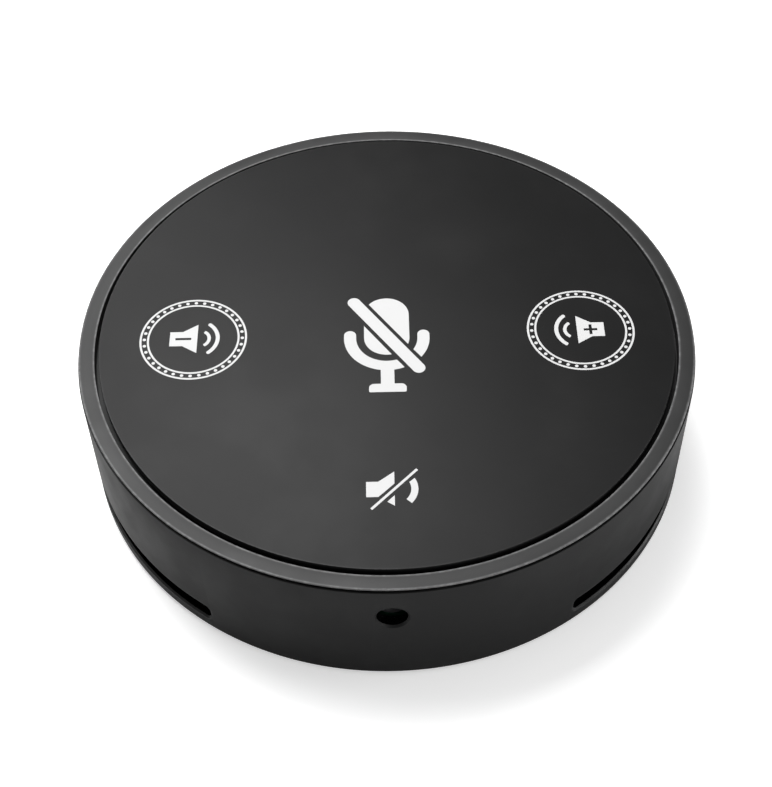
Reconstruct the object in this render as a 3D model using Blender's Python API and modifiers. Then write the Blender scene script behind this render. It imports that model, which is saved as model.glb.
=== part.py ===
"""Conference speakerphone: a low round puck with a floating key panel, side sound slots and a headset hole.

Sizes are in millimetres and become metres where a mesh is made. +Z is up, the user sits at -Y and the
origin lies on the table under the middle of the puck. Azimuths run from the front (-Y) towards +X.
"""

import math

import bmesh
import bpy
from mathutils import Matrix, Vector

MM = 0.001
COLLECTION_NAME = "conference_speakerphone"
MERGE = 0.00001

# Outside
BODY_R = 60.0
WALL = 2.0
WALL_LOW = 0.8
WALL_TOP = 27.55
EDGE_ROUND = 0.7
BEZEL_TOP = 28.2
BEZEL_R = 59.8
BEZEL_BORE_R = 56.73
BEZEL_SKIRT_R = 57.6
BEZEL_SKIRT_LOW = 24.9
BEZEL_LEDGE_R = 54.5
BEZEL_LEDGE_TOP = 25.7
PANEL_R = 55.89
PANEL_TOP = 28.63
PANEL_LOW = 27.2
GAP = 0.3

# Sound slots in the side wall, mirrored left and right
SLOT_LOW = 3.89
SLOT_HIGH = 7.49
SLOT_START = 34.4
SLOT_CORNER = 1.1
MESH_R = 57.6
MESH_THICK = 0.4
MESH_LAP = 0.6
MESH_END_MARGIN = 2.0

# Sockets
JACK_HEIGHT = 19.5
JACK_HOLE_R = 2.8
JACK_RIM_R = 3.25
PORT_HEIGHT = 18.3
PORT_SIZE = (9.9, 4.2)
JACK_HALF_WIDTH = 3.2
JACK_FRONT_R = 57.3
JACK_BACK_R = 45.0
JACK_BORE_R = 1.8
PORT_SHELL_SIZE = (8.94, 3.2)
PORT_CAVITY_SIZE = (8.2, 2.5)
PORT_TONGUE_SIZE = (6.7, 0.7)
PORT_SHELL_BACK_R = 50.3
PORT_SHELL_FRONT_R = 57.6

# Underside
COVER_R = 57.9
COVER_TOP = 2.6
FOOT_IN_R = 42.8
FOOT_OUT_R = 50.2
FOOT_TOP = 1.5
FOOT_EDGE = 0.3
DEFLECTOR = ((0.0, 5.4), (5.0, 4.9))
DEFLECTOR_R = 16.0

# Inner floors
SHELF_IN_R = 54.0
SHELF_LOW = 13.2
SHELF_HIGH = 14.6
BAFFLE_LOW = 8.5
BAFFLE_HIGH = 9.6
BOARD_LOW = 15.2
BOARD_HIGH = 16.4
FRAME_LOW = 19.0
FRAME_HIGH = 20.4
KEY_BOARD_LOW = 21.2
KEY_BOARD_HIGH = 22.2
KEY_BOARD_R = 43.0
BAFFLE_IN_R = 26.6
BAFFLE_OUT_R = 57.4
BOARD_IN_R = 31.0
BOARD_OUT_R = 57.4
FRAME_IN_R = 8.0
FRAME_OUT_R = 56.4
STAKE_PLACES = [(x, y) for x in (-22.0, 22.0) for y in (-24.0, 24.0)]
STAKE_R = 1.0
STAKE_TOP = 22.6

# Screw places: azimuths, radius from the middle, boss radius
COVER_SCREW_AZIMUTHS = (-158.0, -22.0, 22.0, 158.0)
COVER_SCREW_AT_R = 54.8
COVER_BOSS_R = 3.3
COVER_SCREW_SEAT = 1.6
COVER_SCREW_TIP = 9.0
COVER_HEAD_R = 2.1
COVER_HEAD_TALL = 0.6
COVER_SINK_R = 2.5
COVER_SINK_TOP = 1.9
COVER_BORE_TOP = 9.6
FRAME_SCREW_AZIMUTHS = (-118.0, -62.0, 62.0, 118.0)
FRAME_SCREW_AT_R = 53.6
FRAME_BOSS_R = 2.9
FRAME_LEG_R = 2.6
FRAME_SCREW_TIP = 11.0
FRAME_HEAD_R = 1.9
FRAME_HEAD_TALL = 0.8
FRAME_BORE_LOW = 10.5
SPEAKER_SCREW_AZIMUTHS = (-120.0, 0.0, 120.0)
SPEAKER_SCREW_AT_R = 30.8
SPEAKER_SCREW_BORE_R = 1.1
SHANK_R = 0.95
SCREW_BORE_R = 1.3

# Floating key panel: the frame turns on a cross pin line at the back, the panel rocks on the frame
HINGE_Y = 44.5
PIVOT_Z = 24.0
FRAME_PIN_R = 0.6
ROCKER_PIN_R = 0.5
PIN_PLAY = 0.12
PRESS_RING_IN_R = 46.5
PRESS_RING_OUT_R = 50.8
PRESS_RING_LOW = 23.4
PRESS_RING_HIGH = 24.6
CARRIER_R = 54.0
CARRIER_LOW = 25.7
CARRIER_HIGH = 26.9
KEY_POST_LOW = 23.65
KEY_POST_R = 1.6
DOME_R = 4.0
DOME_TALL = 0.8
HINGE_LUG_SPANS = ((14.5, 17.5), (22.5, 25.5))
HINGE_LUG_HALF = 1.5
HINGE_LUG_TOP = 24.85
KNUCKLE_SPAN = (18.1, 21.9)
KNUCKLE_HALF_TALL = 0.9
FRAME_PIN_SPAN = (14.3, 25.7)
ROCKER_LUG_SPANS = ((43.8, 45.4), (51.8, 53.4))
ROCKER_LUG_HALF = 1.5
ROCKER_LUG_LOW = 23.2
ROCKER_BLOCK_SPAN = (46.1, 51.2)
ROCKER_BLOCK_HALF = 1.9
ROCKER_PIN_SPAN = (43.6, 53.6)
OVERLAP = 0.4
KEYS = {
    "mic_mute": (0.0, -3.6),
    "volume_down": (-37.6, -1.2),
    "volume_up": (37.6, -1.2),
    "speaker_mute": (0.0, -38.6),
}

# Microphones
MIC_AZIMUTHS = {
    "front_left": -40.0,
    "front_right": 40.0,
    "back_left": -140.0,
    "back_right": 140.0,
}
MIC_AT_R = 53.0
MIC_BOOT_R = 2.5
MIC_BOOT_LOW = 20.7
MIC_BOOT_TOP = 22.7
MIC_CAPSULE_R = 1.55
MIC_CAPSULE_LOW = 21.5
MIC_CAPSULE_TOP = 22.5

# Loudspeaker, facing down: the cup, the magnet and the pole plate from the top
YOKE_R = 14.2
YOKE_IN_R = 12.6
YOKE_TOP = 18.7
YOKE_FLOOR = 17.7
YOKE_LOW = 14.1
MAGNET_R = 10.2
MAGNET_TOP = 17.4
MAGNET_LOW = 15.4
POLE_R = 10.4
POLE_TOP = 15.1
POLE_LOW = 13.9
GASKET_IN_R = 27.0
GASKET_OUT_R = 29.0
GASKET_THICK = 0.3

# Turning steps: large rings, inner plates, small turned parts, screws and pins
RING_STEPS = 64
PLATE_STEPS = 40
SMALL_STEPS = 28
TINY_STEPS = 12

FINISHES = {
    "panel_black": ((0.045, 0.045, 0.046), 0.42, 0.0),
    "bezel_grey": ((0.095, 0.096, 0.098), 0.40, 0.0),
    "wall_grey": ((0.030, 0.030, 0.031), 0.45, 0.0),
    "cover_black": ((0.022, 0.022, 0.023), 0.60, 0.0),
    "rubber_black": ((0.015, 0.015, 0.015), 0.85, 0.0),
    "cloth_black": ((0.010, 0.010, 0.011), 0.95, 0.0),
    "inner_plastic": ((0.060, 0.062, 0.065), 0.55, 0.0),
    "board_green": ((0.015, 0.085, 0.040), 0.45, 0.0),
    "chip_black": ((0.018, 0.018, 0.020), 0.50, 0.0),
    "plain_steel": ((0.55, 0.55, 0.56), 0.32, 1.0),
    "dark_steel": ((0.080, 0.080, 0.085), 0.40, 1.0),
    "dome_steel": ((0.62, 0.61, 0.58), 0.28, 1.0),
    "magnet_nickel": ((0.60, 0.59, 0.56), 0.22, 1.0),
    "coil_copper": ((0.62, 0.27, 0.12), 0.35, 1.0),
    "paper_grey": ((0.070, 0.070, 0.072), 0.90, 0.0),
    "spider_amber": ((0.45, 0.26, 0.08), 0.90, 0.0),
    "wire_red": ((0.50, 0.020, 0.020), 0.50, 0.0),
    "wire_black": ((0.020, 0.020, 0.020), 0.50, 0.0),
    "connector_white": ((0.72, 0.71, 0.66), 0.50, 0.0),
}


def clear_scene():
    """Remove the objects that the scene starts with."""
    for thing in list(bpy.data.objects):
        bpy.data.objects.remove(thing, do_unlink=True)


def make_collection(name):
    collection = bpy.data.collections.new(name)
    bpy.context.scene.collection.children.link(collection)
    return collection


def finish(name):
    """The material of one finish, made once."""
    material = bpy.data.materials.get(name)
    if material is None:
        colour, roughness, metallic = FINISHES[name]
        material = bpy.data.materials.new(name)
        material.use_nodes = True
        shader = material.node_tree.nodes["Principled BSDF"]
        shader.inputs["Base Color"].default_value = (*colour, 1.0)
        shader.inputs["Roughness"].default_value = roughness
        shader.inputs["Metallic"].default_value = metallic
    return material


def place(azimuth, radius):
    """The plan position at an azimuth from the front and a radius from the middle."""
    turn = math.radians(azimuth)
    return radius * math.sin(turn), -radius * math.cos(turn)


def add_object(name, mesh, finish_name):
    """Put a mesh in the parts, or in the cutters where it has no finish."""
    thing = bpy.data.objects.new(name, mesh)
    if finish_name is None:
        cutters.objects.link(thing)
        thing.hide_render = True
        thing.display_type = "WIRE"
    else:
        parts.objects.link(thing)
        mesh.materials.append(finish(finish_name))
    return thing


def mesh_from(bm, name):
    mesh = bpy.data.meshes.new(name)
    bmesh.ops.recalc_face_normals(bm, faces=bm.faces)
    bm.to_mesh(mesh)
    bm.free()
    mesh.shade_smooth()
    mesh.set_sharp_from_angle(angle=math.radians(35.0))
    return mesh


def turned(name, profile, finish_name, steps=SMALL_STEPS, at=(0.0, 0.0, 0.0)):
    """Turn a profile of (radius, height) points, which runs down its outer side, about the vertical."""
    mesh = bpy.data.meshes.new(name)
    points = [(radius * MM, 0.0, height * MM) for radius, height in profile]
    edges = [(i, i + 1) for i in range(len(points) - 1)]
    if profile[0][0] > 0.0:
        edges.append((len(points) - 1, 0))
    mesh.from_pydata(points, edges, [])
    thing = add_object(name, mesh, finish_name)
    thing.location = Vector(at) * MM
    turn = thing.modifiers.new("Turn", "SCREW")
    turn.steps = steps
    turn.render_steps = steps
    turn.use_merge_vertices = True
    turn.merge_threshold = MERGE
    turn.use_smooth_shade = True
    return thing


def ring(name, inner, outer, low, high, finish_name, steps=SMALL_STEPS):
    """A plain flat ring."""
    profile = [(outer, high), (outer, low), (inner, low), (inner, high)]
    return turned(name, profile, finish_name, steps)


def disc(name, radius, low, high, finish_name, steps=SMALL_STEPS):
    """A plain flat disc."""
    profile = [(0.0, high), (radius, high), (radius, low), (0.0, low)]
    return turned(name, profile, finish_name, steps)


def add_box(bm, low, high):
    size = Vector(high) - Vector(low)
    middle = (Vector(high) + Vector(low)) / 2
    matrix = Matrix.Translation(middle * MM) @ Matrix.Diagonal((*(size * MM), 1.0))
    bmesh.ops.create_cube(bm, size=1.0, matrix=matrix)


def boxes(name, corners, finish_name):
    """One object of one or more boxes, each given by its lowest and highest corner."""
    bm = bmesh.new()
    for low, high in corners:
        add_box(bm, low, high)
    return add_object(name, mesh_from(bm, name), finish_name)


def add_rod(bm, start, end, radius, steps, end_radius=None):
    direction = Vector(end) - Vector(start)
    turn = direction.to_track_quat("Z", "Y").to_matrix().to_4x4()
    middle = (Vector(start) + Vector(end)) / 2
    bmesh.ops.create_cone(
        bm,
        cap_ends=True,
        segments=steps,
        radius1=radius * MM,
        radius2=(radius if end_radius is None else end_radius) * MM,
        depth=direction.length * MM,
        matrix=Matrix.Translation(middle * MM) @ turn,
    )


def rods(name, ends, radius, finish_name, steps=TINY_STEPS):
    """One object of one or more round rods, each given by its two end points."""
    bm = bmesh.new()
    for start, end in ends:
        add_rod(bm, start, end, radius, steps)
    return add_object(name, mesh_from(bm, name), finish_name)


def upright(azimuths, radius, low, high):
    """The end points of upright rods at some azimuths."""
    spots = [place(azimuth, radius) for azimuth in azimuths]
    return [((x, y, low), (x, y, high)) for x, y in spots]


def cut(thing, cutter):
    """Take a cutter out of a part."""
    boolean = thing.modifiers.new("Cut " + cutter.name, "BOOLEAN")
    boolean.operation = "DIFFERENCE"
    boolean.object = cutter


def join(thing, addition):
    """Grow a part by a shape that it overlaps."""
    boolean = thing.modifiers.new("Join " + addition.name, "BOOLEAN")
    boolean.operation = "UNION"
    boolean.object = addition


def round_edges(thing, width, segments=2):
    bevel = thing.modifiers.new("Round", "BEVEL")
    bevel.width = width * MM
    bevel.segments = segments
    bevel.limit_method = "ANGLE"


def arc_block(name, inner, outer, low, high, start, end, corner, finish_name):
    """A block bent round the middle between two azimuths, its four upright-plane corners rounded."""
    bm = bmesh.new()
    section = [(inner, low), (outer, low), (outer, high), (inner, high)]
    x, y = place(start, 1.0)
    corners = [bm.verts.new((r * x * MM, r * y * MM, z * MM)) for r, z in section]
    face = bm.faces.new(corners)
    steps = max(2, round((end - start) / 5.0))
    bmesh.ops.spin(
        bm,
        geom=list(bm.verts) + list(bm.edges) + [face],
        cent=(0.0, 0.0, 0.0),
        axis=(0.0, 0.0, 1.0),
        angle=math.radians(end - start),
        steps=steps,
    )
    bmesh.ops.recalc_face_normals(bm, faces=bm.faces)
    if corner > 0.0:
        ends = [place(azimuth, 1.0) for azimuth in (start, end)]
        radial = []
        for edge in bm.edges:
            first, second = (v.co for v in edge.verts)
            level = abs(first.z - second.z) < MERGE
            along = (first - second).to_2d()
            at_end = any(
                abs(first.x * ey - first.y * ex) < MERGE
                and abs(second.x * ey - second.y * ex) < MERGE
                and first.x * ex + first.y * ey > 0.0
                for ex, ey in ends
            )
            if level and at_end and along.length > MERGE:
                radial.append(edge)
        bmesh.ops.bevel(bm, geom=radial, offset=corner * MM, segments=3, profile=0.5, affect="EDGES")
    return add_object(name, mesh_from(bm, name), finish_name)


def screw(name, azimuth, at_radius, head, shank, head_r, steps=TINY_STEPS):
    """A pan-head screw; head and shank are (low, high) heights that meet each other."""
    low = min(head[0], shank[0])
    high = max(head[1], shank[1])
    head_is_up = head[1] == high
    if head_is_up:
        profile = [(0.0, high), (head_r, high), (head_r, head[0]), (SHANK_R, head[0])]
        profile += [(SHANK_R, low + 0.5), (0.0, low)]
    else:
        profile = [(0.0, high), (SHANK_R, high - 0.5), (SHANK_R, head[1]), (head_r, head[1])]
        profile += [(head_r, low), (0.0, low)]
    x, y = place(azimuth, at_radius)
    return turned(name, profile, "dark_steel", steps, (x, y, 0.0))


# ---------------------------------------------------------------- casing


def make_housing():
    """The side wall with its slots, socket holes, inner shelf and screw bosses."""
    inner = BODY_R - WALL
    profile = [
        (BODY_R - 0.25, WALL_TOP),
        (BODY_R, WALL_TOP - 0.25),
        (BODY_R, WALL_LOW + EDGE_ROUND),
        (BODY_R - 0.2, WALL_LOW + 0.2),
        (BODY_R - EDGE_ROUND, WALL_LOW),
        (inner + 0.2, WALL_LOW),
        (inner + 0.2, COVER_TOP + GAP),
        (inner, COVER_TOP + GAP + 0.2),
        (inner, SHELF_LOW),
        (SHELF_IN_R, SHELF_LOW),
        (SHELF_IN_R, SHELF_HIGH),
        (inner, SHELF_HIGH),
        (inner, WALL_TOP - 1.35),
    ]
    housing = turned("housing", profile, "wall_grey", RING_STEPS)
    boss_low = COVER_TOP + GAP
    boss_high = SHELF_LOW + 0.3
    bosses = upright(COVER_SCREW_AZIMUTHS, COVER_SCREW_AT_R, boss_low, boss_high)
    join(housing, rods("cover_bosses", bosses, COVER_BOSS_R, None))
    bosses = upright(FRAME_SCREW_AZIMUTHS, FRAME_SCREW_AT_R, BAFFLE_HIGH + GAP, boss_high)
    join(housing, rods("frame_bosses", bosses, FRAME_BOSS_R, None))
    bores = upright(COVER_SCREW_AZIMUTHS, COVER_SCREW_AT_R, boss_low - 1.0, COVER_BORE_TOP)
    bores += upright(FRAME_SCREW_AZIMUTHS, FRAME_SCREW_AT_R, FRAME_BORE_LOW, SHELF_HIGH + 1.0)
    cut(housing, rods("housing_screw_bores", bores, SCREW_BORE_R, None))
    for side, middle in (("right", 90.0), ("left", -90.0)):
        reach = 90.0 - SLOT_START
        slot = arc_block(
            "slot_cutter_" + side,
            inner - 1.5,
            BODY_R + 1.5,
            SLOT_LOW,
            SLOT_HIGH,
            middle - reach,
            middle + reach,
            SLOT_CORNER,
            None,
        )
        cut(housing, slot)
    cut(housing, socket_cutter())
    cut(housing, port_cutter())
    return housing


def socket_cutter():
    """The round headset hole with its flared rim."""
    bm = bmesh.new()
    add_rod(bm, (0.0, -BODY_R - 2.0, JACK_HEIGHT), (0.0, -BODY_R + 4.0, JACK_HEIGHT), JACK_HOLE_R, 28)
    bore = add_object("headset_hole_cutter", mesh_from(bm, "headset_hole_cutter"), None)
    bm = bmesh.new()
    flare = JACK_RIM_R - JACK_HOLE_R
    start = (0.0, -BODY_R - 1.0, JACK_HEIGHT)
    end = (0.0, -BODY_R + flare, JACK_HEIGHT)
    add_rod(bm, start, end, JACK_RIM_R + 1.0, 28, JACK_HOLE_R)
    rim = add_object("headset_rim_cutter", mesh_from(bm, "headset_rim_cutter"), None)
    join(bore, rim)
    return bore


def port_cutter():
    """The stadium-shaped opening for the cable socket at the back."""
    tall = PORT_SIZE[1] / 2
    cutter = boxes("port_cutter", [port_box(PORT_SIZE, BODY_R - 4.0, BODY_R + 2.0)], None)
    bm = bmesh.new()
    bm.from_mesh(cutter.data)
    upright_ends = [e for e in bm.edges if abs(e.verts[0].co.y - e.verts[1].co.y) > MM]
    bmesh.ops.bevel(bm, geom=upright_ends, offset=(tall - 0.1) * MM, segments=5, profile=0.5, affect="EDGES")
    bm.to_mesh(cutter.data)
    bm.free()
    return cutter


def make_bezel_ring():
    """The flat ring round the key panel, with a skirt inside the wall and a ledge under the panel's edge."""
    profile = [
        (BEZEL_R - 0.3, BEZEL_TOP),
        (BEZEL_R - 0.08, BEZEL_TOP - 0.1),
        (BEZEL_R, BEZEL_TOP - 0.3),
        (BEZEL_R - 1.3, BEZEL_TOP - 1.15),
        (BEZEL_SKIRT_R, BEZEL_TOP - 1.6),
        (BEZEL_SKIRT_R, BEZEL_SKIRT_LOW),
        (BEZEL_LEDGE_R, BEZEL_SKIRT_LOW),
        (BEZEL_LEDGE_R, BEZEL_LEDGE_TOP),
        (BEZEL_BORE_R, BEZEL_LEDGE_TOP),
        (BEZEL_BORE_R, BEZEL_TOP - 0.1),
        (BEZEL_BORE_R + 0.1, BEZEL_TOP),
    ]
    return turned("bezel_ring", profile, "bezel_grey", RING_STEPS)


def make_bottom_cover():
    """The bottom plate, with a low sound deflector in the middle, a foot groove and screw holes."""
    groove = (FOOT_IN_R - GAP, FOOT_OUT_R + GAP)
    profile = [
        *DEFLECTOR,
        (DEFLECTOR_R, COVER_TOP),
        (COVER_R, COVER_TOP),
        (COVER_R, WALL_LOW + 0.4),
        (COVER_R - 0.4, WALL_LOW),
        (groove[1], WALL_LOW),
        (groove[1], FOOT_TOP + GAP),
        (groove[0], FOOT_TOP + GAP),
        (groove[0], WALL_LOW),
        (0.0, WALL_LOW),
    ]
    cover = turned("bottom_cover", profile, "cover_black", RING_STEPS)
    holes = upright(COVER_SCREW_AZIMUTHS, COVER_SCREW_AT_R, 0.0, COVER_TOP + 1.0)
    cut(cover, rods("cover_screw_holes", holes, SCREW_BORE_R, None))
    sinks = upright(COVER_SCREW_AZIMUTHS, COVER_SCREW_AT_R, 0.0, COVER_SINK_TOP)
    cut(cover, rods("cover_screw_sinks", sinks, COVER_SINK_R, None))
    return cover


def make_foot_ring():
    profile = [
        (FOOT_OUT_R, FOOT_TOP),
        (FOOT_OUT_R, FOOT_EDGE),
        (FOOT_OUT_R - FOOT_EDGE, 0.0),
        (FOOT_IN_R + FOOT_EDGE, 0.0),
        (FOOT_IN_R, FOOT_EDGE),
        (FOOT_IN_R, FOOT_TOP),
    ]
    return turned("foot_ring", profile, "rubber_black", RING_STEPS)


def make_slot_meshes():
    """A strip of dust cloth behind each slot."""
    for side, middle in (("right", 90.0), ("left", -90.0)):
        reach = 90.0 - SLOT_START + MESH_END_MARGIN
        low = SLOT_LOW - MESH_LAP
        high = SLOT_HIGH + MESH_LAP
        inner = MESH_R - MESH_THICK
        span = (middle - reach, middle + reach)
        arc_block("slot_mesh_" + side, inner, MESH_R, low, high, *span, 0.0, "cloth_black")


def make_cover_screws():
    head = (COVER_SCREW_SEAT - COVER_HEAD_TALL, COVER_SCREW_SEAT)
    shank = (COVER_SCREW_SEAT, COVER_SCREW_TIP)
    for number, azimuth in enumerate(COVER_SCREW_AZIMUTHS, 1):
        screw(f"cover_screw_{number}", azimuth, COVER_SCREW_AT_R, head, shank, COVER_HEAD_R)


# ---------------------------------------------------------------- floating key panel


def make_top_panel():
    profile = [
        (0.0, PANEL_TOP),
        (PANEL_R - 0.2, PANEL_TOP),
        (PANEL_R, PANEL_TOP - 0.2),
        (PANEL_R, PANEL_LOW),
        (0.0, PANEL_LOW),
    ]
    return turned("top_panel", profile, "panel_black", RING_STEPS)


def make_panel_carrier():
    """The plate under the panel, with a post over each dome and two pairs of rocker lugs."""
    carrier = disc("panel_carrier", CARRIER_R, CARRIER_LOW, CARRIER_HIGH, "inner_plastic", PLATE_STEPS)
    top = CARRIER_LOW + OVERLAP
    posts = [((x, y, KEY_POST_LOW), (x, y, top)) for x, y in KEYS.values()]
    join(carrier, rods("key_posts", posts, KEY_POST_R, None))
    lugs = []
    for end in (-1, 1):
        for near, far in ROCKER_LUG_SPANS:
            y_low, y_high = sorted((end * near, end * far))
            lugs.append(((-ROCKER_LUG_HALF, y_low, ROCKER_LUG_LOW), (ROCKER_LUG_HALF, y_high, top)))
    join(carrier, boxes("rocker_lugs", lugs, None))
    near, far = ROCKER_LUG_SPANS[0][0] - 1.8, ROCKER_LUG_SPANS[1][1] + 0.5
    bores = [((0.0, end * near, PIVOT_Z), (0.0, end * far, PIVOT_Z)) for end in (-1, 1)]
    cut(carrier, rods("rocker_lug_bores", bores, ROCKER_PIN_R + PIN_PLAY, None))
    return carrier


def make_press_frame():
    """The ring that turns on the cross pins at the back and carries the rocker pins."""
    frame = ring(
        "press_frame",
        PRESS_RING_IN_R,
        PRESS_RING_OUT_R,
        PRESS_RING_LOW,
        PRESS_RING_HIGH,
        "inner_plastic",
        PLATE_STEPS,
    )
    low, high = PIVOT_Z - KNUCKLE_HALF_TALL, PIVOT_Z + KNUCKLE_HALF_TALL
    blocks = []
    bores = []
    for end in (-1, 1):
        near, far = ROCKER_BLOCK_SPAN
        y_low, y_high = sorted((end * near, end * far))
        blocks.append(((-ROCKER_BLOCK_HALF, y_low, low), (ROCKER_BLOCK_HALF, y_high, high)))
        bores.append(((0.0, y_low - 1.0, PIVOT_Z), (0.0, y_high + 1.0, PIVOT_Z)))
    join(frame, boxes("rocker_blocks", blocks, None))
    notches = []
    knuckles = []
    knuckle_bores = []
    half = HINGE_LUG_HALF
    for side in (-1, 1):
        for near, far in HINGE_LUG_SPANS:
            x_low, x_high = sorted((side * (near - GAP), side * (far + GAP)))
            y_low, y_high = HINGE_Y - half - GAP, HINGE_Y + half + GAP
            notches.append(((x_low, y_low, PIVOT_Z - 2.0), (x_high, y_high, PIVOT_Z + 2.0)))
        x_low, x_high = sorted(side * x for x in KNUCKLE_SPAN)
        knuckles.append(((x_low, HINGE_Y - half, low), (x_high, HINGE_Y + half, high)))
        knuckle_bores.append(((x_low - 1.0, HINGE_Y, PIVOT_Z), (x_high + 1.0, HINGE_Y, PIVOT_Z)))
    cut(frame, boxes("lug_notches", notches, None))
    join(frame, boxes("hinge_knuckles", knuckles, None))
    cut(frame, rods("rocker_block_bores", bores, ROCKER_PIN_R + PIN_PLAY, None))
    cut(frame, rods("knuckle_bores", knuckle_bores, FRAME_PIN_R + PIN_PLAY, None))
    return frame


def make_pins():
    for side, sign in (("left", -1), ("right", 1)):
        start, end = ((sign * x, HINGE_Y, PIVOT_Z) for x in FRAME_PIN_SPAN)
        rods("frame_pin_" + side, [(start, end)], FRAME_PIN_R, "plain_steel")
    for side, sign in (("front", -1), ("back", 1)):
        start, end = ((0.0, sign * y, PIVOT_Z) for y in ROCKER_PIN_SPAN)
        rods("rocker_pin_" + side, [(start, end)], ROCKER_PIN_R, "plain_steel")


def make_key_domes():
    """A snap dome on the key board under each key."""
    top = KEY_BOARD_HIGH + DOME_TALL
    low = KEY_BOARD_HIGH + GAP
    for name, (x, y) in KEYS.items():
        profile = [(0.0, top), (1.6, top - 0.06), (3.2, top - 0.28), (DOME_R, low + 0.15), (DOME_R, low)]
        profile += [(3.2, low + 0.05), (1.6, top - 0.26), (0.0, top - 0.2)]
        turned("dome_" + name, profile, "dome_steel", TINY_STEPS, (x, y, 0.0))


# ---------------------------------------------------------------- boards and frames


def make_mid_frame():
    """The plate that holds the key board, the microphones and the hinge lugs, on four legs."""
    frame = ring("mid_frame", FRAME_IN_R, FRAME_OUT_R, FRAME_LOW, FRAME_HIGH, "inner_plastic", PLATE_STEPS)
    legs = upright(FRAME_SCREW_AZIMUTHS, FRAME_SCREW_AT_R, BOARD_HIGH + GAP, FRAME_LOW + OVERLAP)
    join(frame, rods("frame_legs", legs, FRAME_LEG_R, None))
    root = FRAME_HIGH - OVERLAP
    half = HINGE_LUG_HALF
    lugs = []
    for side in (-1, 1):
        for near, far in HINGE_LUG_SPANS:
            x_low, x_high = sorted((side * near, side * far))
            lugs.append(((x_low, HINGE_Y - half, root), (x_high, HINGE_Y + half, HINGE_LUG_TOP)))
    join(frame, boxes("hinge_lugs", lugs, None))
    stakes = [((x, y, root), (x, y, STAKE_TOP)) for x, y in STAKE_PLACES]
    join(frame, rods("board_stakes", stakes, STAKE_R, None))
    holes = upright(FRAME_SCREW_AZIMUTHS, FRAME_SCREW_AT_R, BOARD_LOW, FRAME_HIGH + 1.6)
    cut(frame, rods("frame_screw_holes", holes, SCREW_BORE_R, None))
    windows = [
        ((-4.2, -60.0, 18.0), (4.2, -43.6, 22.0)),
        ((-5.6, 49.4, 18.0), (5.6, 60.0, 22.0)),
        ((-38.2, 8.0, 18.0), (-32.8, 20.0, 22.0)),
    ]
    cut(frame, boxes("frame_windows", windows, None))
    near, far = HINGE_LUG_SPANS[0][0] - 1.0, HINGE_LUG_SPANS[1][1] + 1.0
    bores = [((side * near, HINGE_Y, PIVOT_Z), (side * far, HINGE_Y, PIVOT_Z)) for side in (-1, 1)]
    cut(frame, rods("hinge_lug_bores", bores, FRAME_PIN_R + PIN_PLAY, None))
    return frame


def make_key_board():
    board = disc("key_board", KEY_BOARD_R, KEY_BOARD_LOW, KEY_BOARD_HIGH, "board_green", PLATE_STEPS)
    holes = [((x, y, KEY_BOARD_LOW - 1.0), (x, y, KEY_BOARD_HIGH + 1.0)) for x, y in STAKE_PLACES]
    cut(board, rods("stake_holes", holes, STAKE_R + GAP, None))
    return board


def make_main_board():
    board = ring("main_board", BOARD_IN_R, BOARD_OUT_R, BOARD_LOW, BOARD_HIGH, "board_green", RING_STEPS)
    holes = upright(FRAME_SCREW_AZIMUTHS, FRAME_SCREW_AT_R, BOARD_LOW - 1.0, BOARD_HIGH + 1.0)
    cut(board, rods("board_screw_holes", holes, SCREW_BORE_R + 0.1, None))
    return board


def make_board_pieces():
    """Chips, a capacitor, the link between the boards and the plug of the speaker wires."""
    low = BOARD_HIGH + GAP
    boxes("audio_chip", [((33.5, 17.5, low), (42.5, 26.5, low + 1.0))], "chip_black")
    boxes("amplifier_chip", [((37.0, -25.0, low), (43.0, -19.0, low + 0.9))], "chip_black")
    boxes("board_connector", [((-37.0, 9.0, low), (-34.0, 19.0, KEY_BOARD_LOW - GAP))], "connector_white")
    boxes("speaker_wire_plug", [((33.2, -3.5, low), (38.2, 3.5, low + 2.0))], "connector_white")
    rods("supply_capacitor", [((-40.0, -20.0, low), (-40.0, -20.0, low + 2.0))], 3.0, "plain_steel", 20)


def make_frame_screws():
    seat = FRAME_HIGH + GAP
    head = (seat, seat + FRAME_HEAD_TALL)
    for number, azimuth in enumerate(FRAME_SCREW_AZIMUTHS, 1):
        screw(f"frame_screw_{number}", azimuth, FRAME_SCREW_AT_R, head, (FRAME_SCREW_TIP, seat), FRAME_HEAD_R)


def make_headset_jack():
    """The socket block behind the front hole."""
    low = (-JACK_HALF_WIDTH, -JACK_FRONT_R, JACK_HEIGHT - 2.5)
    high = (JACK_HALF_WIDTH, -JACK_BACK_R, JACK_HEIGHT + 2.5)
    jack = boxes("headset_jack", [(low, high)], "chip_black")
    round_edges(jack, 0.3, 1)
    ends = ((0.0, -JACK_FRONT_R - 1.7, JACK_HEIGHT), (0.0, -JACK_BACK_R - 1.0, JACK_HEIGHT))
    bore = rods("jack_bore", [ends], JACK_BORE_R, None, 20)
    cut(jack, bore)
    return jack


def port_box(size, back, front):
    """The corners of a box at the cable port; size is its width and height."""
    wide, tall = (side / 2 for side in size)
    return (-wide, back, PORT_HEIGHT - tall), (wide, front, PORT_HEIGHT + tall)


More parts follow.
